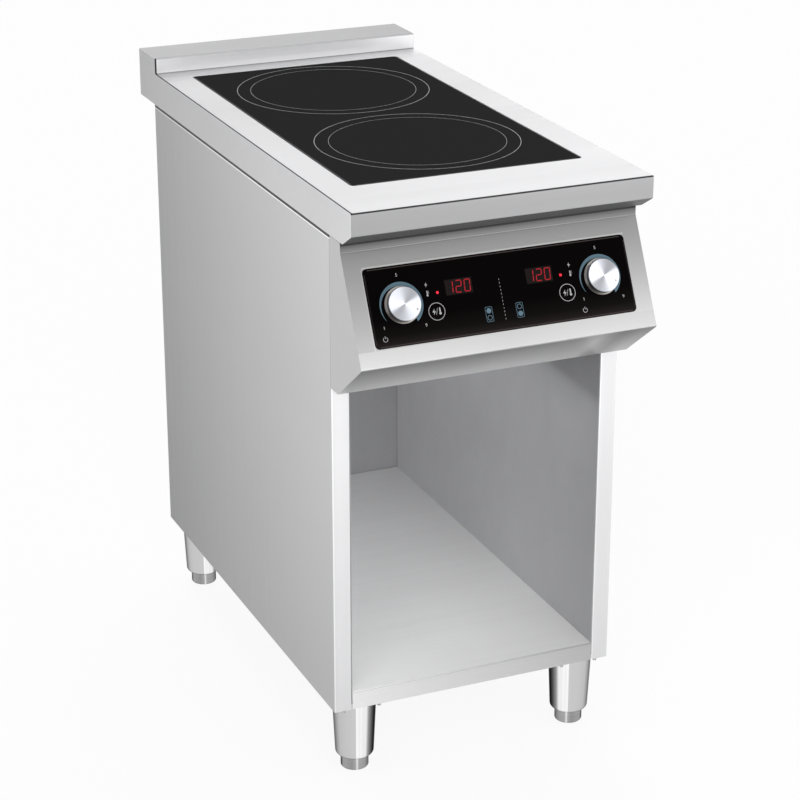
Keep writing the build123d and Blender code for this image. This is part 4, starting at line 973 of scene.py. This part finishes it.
def moved(add, shape, **along):
    """A shape moved by its distances along X, Y and Z."""
    shift = add("ShaderNodeCombineXYZ", **along)
    return add("GeometryNodeTransform", Geometry=shape, Translation=shift.outputs[0]).outputs[0]


def cross_screw_tree():
    """A pan-head screw at each point, its head along +Z before the turn, with a cross recess cut in it."""
    tree, add, given = geometry_tree("cross_recess_screw", Head_Radius="Float", Head_Height="Float",
                                     Shank_Radius="Float", Shank_Length="Float", Turn="Vector")
    head, height, shank_drop = given["Head Radius"], given["Head Height"], -0.49
    shoulder_share, top_share, slot_length_share, slot_width_share = 0.9, 0.55, 1.05, 0.24
    half_head = arithmetic(add, "MULTIPLY", height, 0.5)
    shoulder, top = (arithmetic(add, "MULTIPLY", head, share) for share in (shoulder_share, top_share))
    rim, crown = (add("GeometryNodeMeshCone", Vertices=32, Radius_Bottom=low, Radius_Top=high,
                      Depth=half_head).outputs["Mesh"] for low, high in ((head, shoulder), (shoulder, top)))
    shank = add("GeometryNodeMeshCylinder", Vertices=20, Radius=given["Shank Radius"], Depth=given["Shank Length"])
    drop = arithmetic(add, "MULTIPLY", given["Shank Length"], shank_drop)
    body = add("GeometryNodeMeshBoolean", operation="UNION", solver="EXACT")
    for part in (rim, moved(add, crown, Z=half_head), moved(add, shank.outputs["Mesh"], Z=drop)):
        fill(body.inputs["Mesh 2"], part)
    recess = add("GeometryNodeMeshBoolean", operation="DIFFERENCE", solver="EXACT")
    fill(recess.inputs["Mesh 1"], body.outputs[0])
    slot_length = arithmetic(add, "MULTIPLY", head, slot_length_share)
    slot_width = arithmetic(add, "MULTIPLY", head, slot_width_share)
    for along, wide in ((slot_length, slot_width), (slot_width, slot_length)):
        size = add("ShaderNodeCombineXYZ", along, wide, height)
        bar = add("GeometryNodeMeshCube", Size=size.outputs[0])
        fill(recess.inputs["Mesh 2"], moved(add, bar.outputs["Mesh"], Z=height))
    return at_points(tree, add, given, recess.outputs[0], Rotation=given["Turn"])


screw_boxes = solids_of("panel_screws")
middle_y = sum((low.y + high.y) / 2 for low, high in screw_boxes) / len(screw_boxes)
head_height, shank_radius = 2.0 * MM, 2.0 * MM
cross_screws = cross_screw_tree()
for name, rear in (("rear_cover_screws", True), ("panel_back_screws", False)):
    chosen = [(low, high) for low, high in screw_boxes if (low.y > middle_y) == rear]
    low, high = chosen[0]
    points = [((a.x + b.x) / 2, b.y - head_height if rear else a.y + head_height, (a.z + b.z) / 2) for a, b in chosen]
    screws = grown(name, cross_screws, points, zinc_plate, Head_Radius=(high.x - low.x) / 2, Head_Height=head_height,
                   Shank_Radius=shank_radius, Shank_Length=high.y - low.y - head_height,
                   Turn=(radians(-90 if rear else 90), 0, 0))
    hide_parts("panel_screws")
    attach(screws, "cabinet")


def thread_end_tree():
    """The end of a threaded rod below each point, its crests swelling and falling along the rod."""
    tree, add, given = geometry_tree("thread_end", Radius="Float", Length="Float", Pitch="Float")
    thread_depth = 0.07
    rod = add("GeometryNodeMeshCylinder", Vertices=24, Side_Segments=54, Radius=given["Radius"],
              Depth=given["Length"])
    place = add("ShaderNodeSeparateXYZ", add("GeometryNodeInputPosition").outputs[0]).outputs
    turns = arithmetic(add, "DIVIDE", place["Z"], given["Pitch"])
    wave = arithmetic(add, "SINE", arithmetic(add, "MULTIPLY", turns, 2 * pi))
    swell = arithmetic(add, "MULTIPLY_ADD", wave, thread_depth, -thread_depth)
    radial = add("ShaderNodeCombineXYZ", *(arithmetic(add, "MULTIPLY", place[axis], swell) for axis in "XY"))
    cut = add("GeometryNodeSetPosition", Geometry=rod.outputs["Mesh"], Offset=radial.outputs[0])
    drop = arithmetic(add, "MULTIPLY", given["Length"], -0.5)
    return at_points(tree, add, given, moved(add, cut.outputs[0], Z=drop))


thread_radius, thread_length, thread_pitch, thread_start = 2.5 * MM, 10.5 * MM, 0.8 * MM, 0.5 * MM
bolt_ends = [((low.x + high.x) / 2, (low.y + high.y) / 2, low.z + thread_start)
             for low, high in solids_of("leg_bolts")]
leg_bolt_ends = grown("leg_bolt_ends", thread_end_tree(), bolt_ends, zinc_plate,
                      Radius=thread_radius, Length=thread_length, Pitch=thread_pitch)
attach(leg_bolt_ends, "cabinet")


# -------------------------------------------------- coils
# Flat windings of enamelled copper litz lie spiral on moulded carriers, in an inner and an outer band, under
# mica discs. Ferrite bars are glued below, and wire springs press the whole up against the glass.
def litz_tree():
    """A flat spiral of round litz cable at each point; each part of it knows how far along it lies."""
    tree, add, given = geometry_tree("litz_spiral", Inner_Radius="Float", Outer_Radius="Float", Turns="Float",
                                     Cable_Width="Float", Cable_Height="Float")
    spiral = add("GeometryNodeCurveSpiral", Resolution=48, Height=0.0, Start_Radius=given["Inner Radius"],
                 End_Radius=given["Outer Radius"], Rotations=given["Turns"])
    kept = add("GeometryNodeStoreNamedAttribute", data_type="FLOAT", domain="POINT", Name="cable_length",
               Geometry=spiral.outputs[0], Value=add("GeometryNodeSplineParameter").outputs["Length"])
    wire = add("GeometryNodeCurvePrimitiveCircle", Resolution=10, Radius=0.5)
    size = add("ShaderNodeCombineXYZ", given["Cable Width"], given["Cable Height"], 1.0)
    oval = add("GeometryNodeTransform", Geometry=wire.outputs[0], Scale=size.outputs[0])
    return at_points(tree, add, given, swept(add, kept.outputs[0], oval.outputs[0], Fill_Caps=True))


def color_mix(add, share, first, second):
    """Mixes two colours, each a socket or four numbers."""
    node = add("ShaderNodeMix", share, data_type="RGBA")
    for slot, color in zip(node.inputs[6:8], (first, second)):
        fill(slot, color)
    return node.outputs[2]


def litz_copper(name):
    """Bundled enamelled strands, twisted along the cable."""
    material, add = shading(name)
    twist_up, twist_along = 2600.0, 900.0
    length = add("ShaderNodeAttribute", attribute_name="cable_length").outputs["Fac"]
    height = add("ShaderNodeSeparateXYZ", where(add)).outputs["Z"]
    twist = arithmetic(add, "MULTIPLY_ADD", height, twist_up, arithmetic(add, "MULTIPLY", length, twist_along))
    strand = arithmetic(add, "MULTIPLY_ADD", arithmetic(add, "SINE", twist), 0.5, 0.5)
    return principled(material, add, Base_Color=color_mix(add, strand, (0.32, 0.11, 0.05, 1), (0.72, 0.33, 0.17, 1)),
                      Roughness=arithmetic(add, "MULTIPLY_ADD", strand, -0.12, 0.42), Metallic=0.7, Coat_Weight=0.3,
                      Normal=grooved(add, strand, strength=0.5, depth=0.3 * MM))


litz = litz_tree()
litz_finish = litz_copper("enamelled_litz")
dress("copper_winding", litz_finish)
litz_width, winding_gap, cable_share = 4.0 * MM, (62.0 * MM, 70.0 * MM), 0.98
for end in ("front", "rear"):
    low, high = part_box(f"coil_{end}")
    middle = (low + high) / 2
    for band, inner, outer in (("outer", winding_gap[1], (high.x - low.x) / 2), ("inner", 24.0 * MM, winding_gap[0])):
        first, last = inner + litz_width / 2, outer - litz_width / 2
        winding = grown(f"winding_{end}_{band}", litz, [tuple(middle)], litz_finish, Inner_Radius=first,
                        Outer_Radius=last, Turns=round((last - first) / litz_width),
                        Cable_Width=litz_width * cable_share, Cable_Height=(high.z - low.z) * cable_share)
        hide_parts(f"coil_{end}")
        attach(winding, "cabinet")
dress("carrier_plastic", moulded("glass_filled_moulding", (0.09, 0.09, 0.1), 0.5))
dress("mica", moulded("mica_sheet", (0.55, 0.47, 0.34), 0.45, pebbles=260.0, tone=0.5, Coat_Weight=0.2))
dress("sensor", moulded("sensor_ceramic", (0.8, 0.78, 0.72), 0.35))
dress("ferrite", moulded("sintered_ferrite", (0.05, 0.05, 0.054), 0.55, pebbles=1500.0))
dress("aluminium_sheet", brushed_steel("mill_aluminium", (0.72, 0.72, 0.73), ALONG_X, roughness=0.35, metallic=0.95))


def spring_tree():
    """A wire compression spring standing at each point."""
    tree, add, given = geometry_tree("wire_spring", Radius="Float", Length="Float", Turns="Float",
                                     Wire_Radius="Float", Turn="Vector")
    helix = add("GeometryNodeCurveSpiral", Resolution=20, Start_Radius=given["Radius"], End_Radius=given["Radius"],
                Height=given["Length"], Rotations=given["Turns"])
    section = add("GeometryNodeCurvePrimitiveCircle", Resolution=8, Radius=given["Wire Radius"])
    wire = swept(add, helix.outputs[0], section.outputs[0], Fill_Caps=True)
    return at_points(tree, add, given, wire, Rotation=given["Turn"])


spring_maker = spring_tree()
spring_wire = plated("spring_wire", (0.5, 0.5, 0.52), 0.25)
wire, key_wire = 0.6 * MM, 0.4 * MM
posts = solids_of("coil_springs")
post_size = posts[0][1] - posts[0][0]
post_points = [((a.x + b.x) / 2, (a.y + b.y) / 2, a.z + wire) for a, b in posts]
carrier_springs = grown("carrier_springs", spring_maker, post_points, spring_wire, Radius=post_size.x / 2 - wire,
                        Length=post_size.z - 2 * wire, Turns=6.0, Wire_Radius=wire)
keys = solids_of("touch_springs")
key_size = keys[0][1] - keys[0][0]
key_reach = key_size.x / 2
key_length = (key_size.z - 2 * key_reach * up_panel.z) / out_of_panel.z
key_points = [tuple((a + b) / 2 - out_of_panel * (key_length / 2 - key_wire)) for a, b in keys]
key_springs = grown("key_springs", spring_maker, key_points, spring_wire, Radius=key_reach - key_wire,
                    Length=key_length - 2 * key_wire, Turns=5.0, Wire_Radius=key_wire, Turn=panel_turn)
for piece, node in ((carrier_springs, "coil_springs"), (key_springs, "touch_springs")):
    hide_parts(node)
    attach(piece, "cabinet")


# -------------------------------------------------- electronics
# Solder-masked boards carry the generators, the mains filter and the controls; extruded heat sinks lie in the
# air stream of two moulded fans. Encoders are die-cast.
def circuit_board(name):
    """Green solder mask over copper tracks, with scattered bright pads."""
    material, add = shading(name)
    place, track_from, pad_within = where(add), 0.52, 0.2
    lanes = add("ShaderNodeTexVoronoi", distance="MANHATTAN", feature="F1", Vector=place, Scale=170.0, Randomness=0.6)
    pads = add("ShaderNodeTexVoronoi", Vector=place, Scale=240.0, Randomness=0.8)
    track = arithmetic(add, "GREATER_THAN", lanes.outputs["Distance"], track_from)
    pad = arithmetic(add, "LESS_THAN", pads.outputs["Distance"], pad_within)
    mask = color_mix(add, track, (0.012, 0.11, 0.035, 1), (0.03, 0.2, 0.07, 1))
    tinned = color_mix(add, pad, mask, (0.62, 0.62, 0.6, 1))
    rough = arithmetic(add, "MULTIPLY_ADD", track, 0.1, 0.3)
    return principled(material, add, Base_Color=tinned, Metallic=pad, Roughness=rough, Specular_IOR_Level=0.5)


dress("circuit_board", circuit_board("solder_masked_board"))
dress("heat_sink_aluminium", brushed_steel("extruded_aluminium", (0.7, 0.7, 0.72), ALONG_Y, roughness=0.35,
                                           metallic=0.95))
dress("fan_plastic", moulded("fan_moulding", (0.025, 0.025, 0.027), 0.45))
dress("encoder_metal", moulded("die_cast_zinc", (0.5, 0.5, 0.52), 0.4, pebbles=1600.0, Metallic=0.9))
dress("brass", moulded("turned_brass", (0.68, 0.5, 0.2), 0.28, relief=0.1, Metallic=1.0))
dress("terminal_plastic", moulded("terminal_moulding", (0.7, 0.68, 0.62), 0.45))
dress("gland_plastic", moulded("gland_polyamide", (0.04, 0.04, 0.045), 0.5, pebbles=700.0))

low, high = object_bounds()
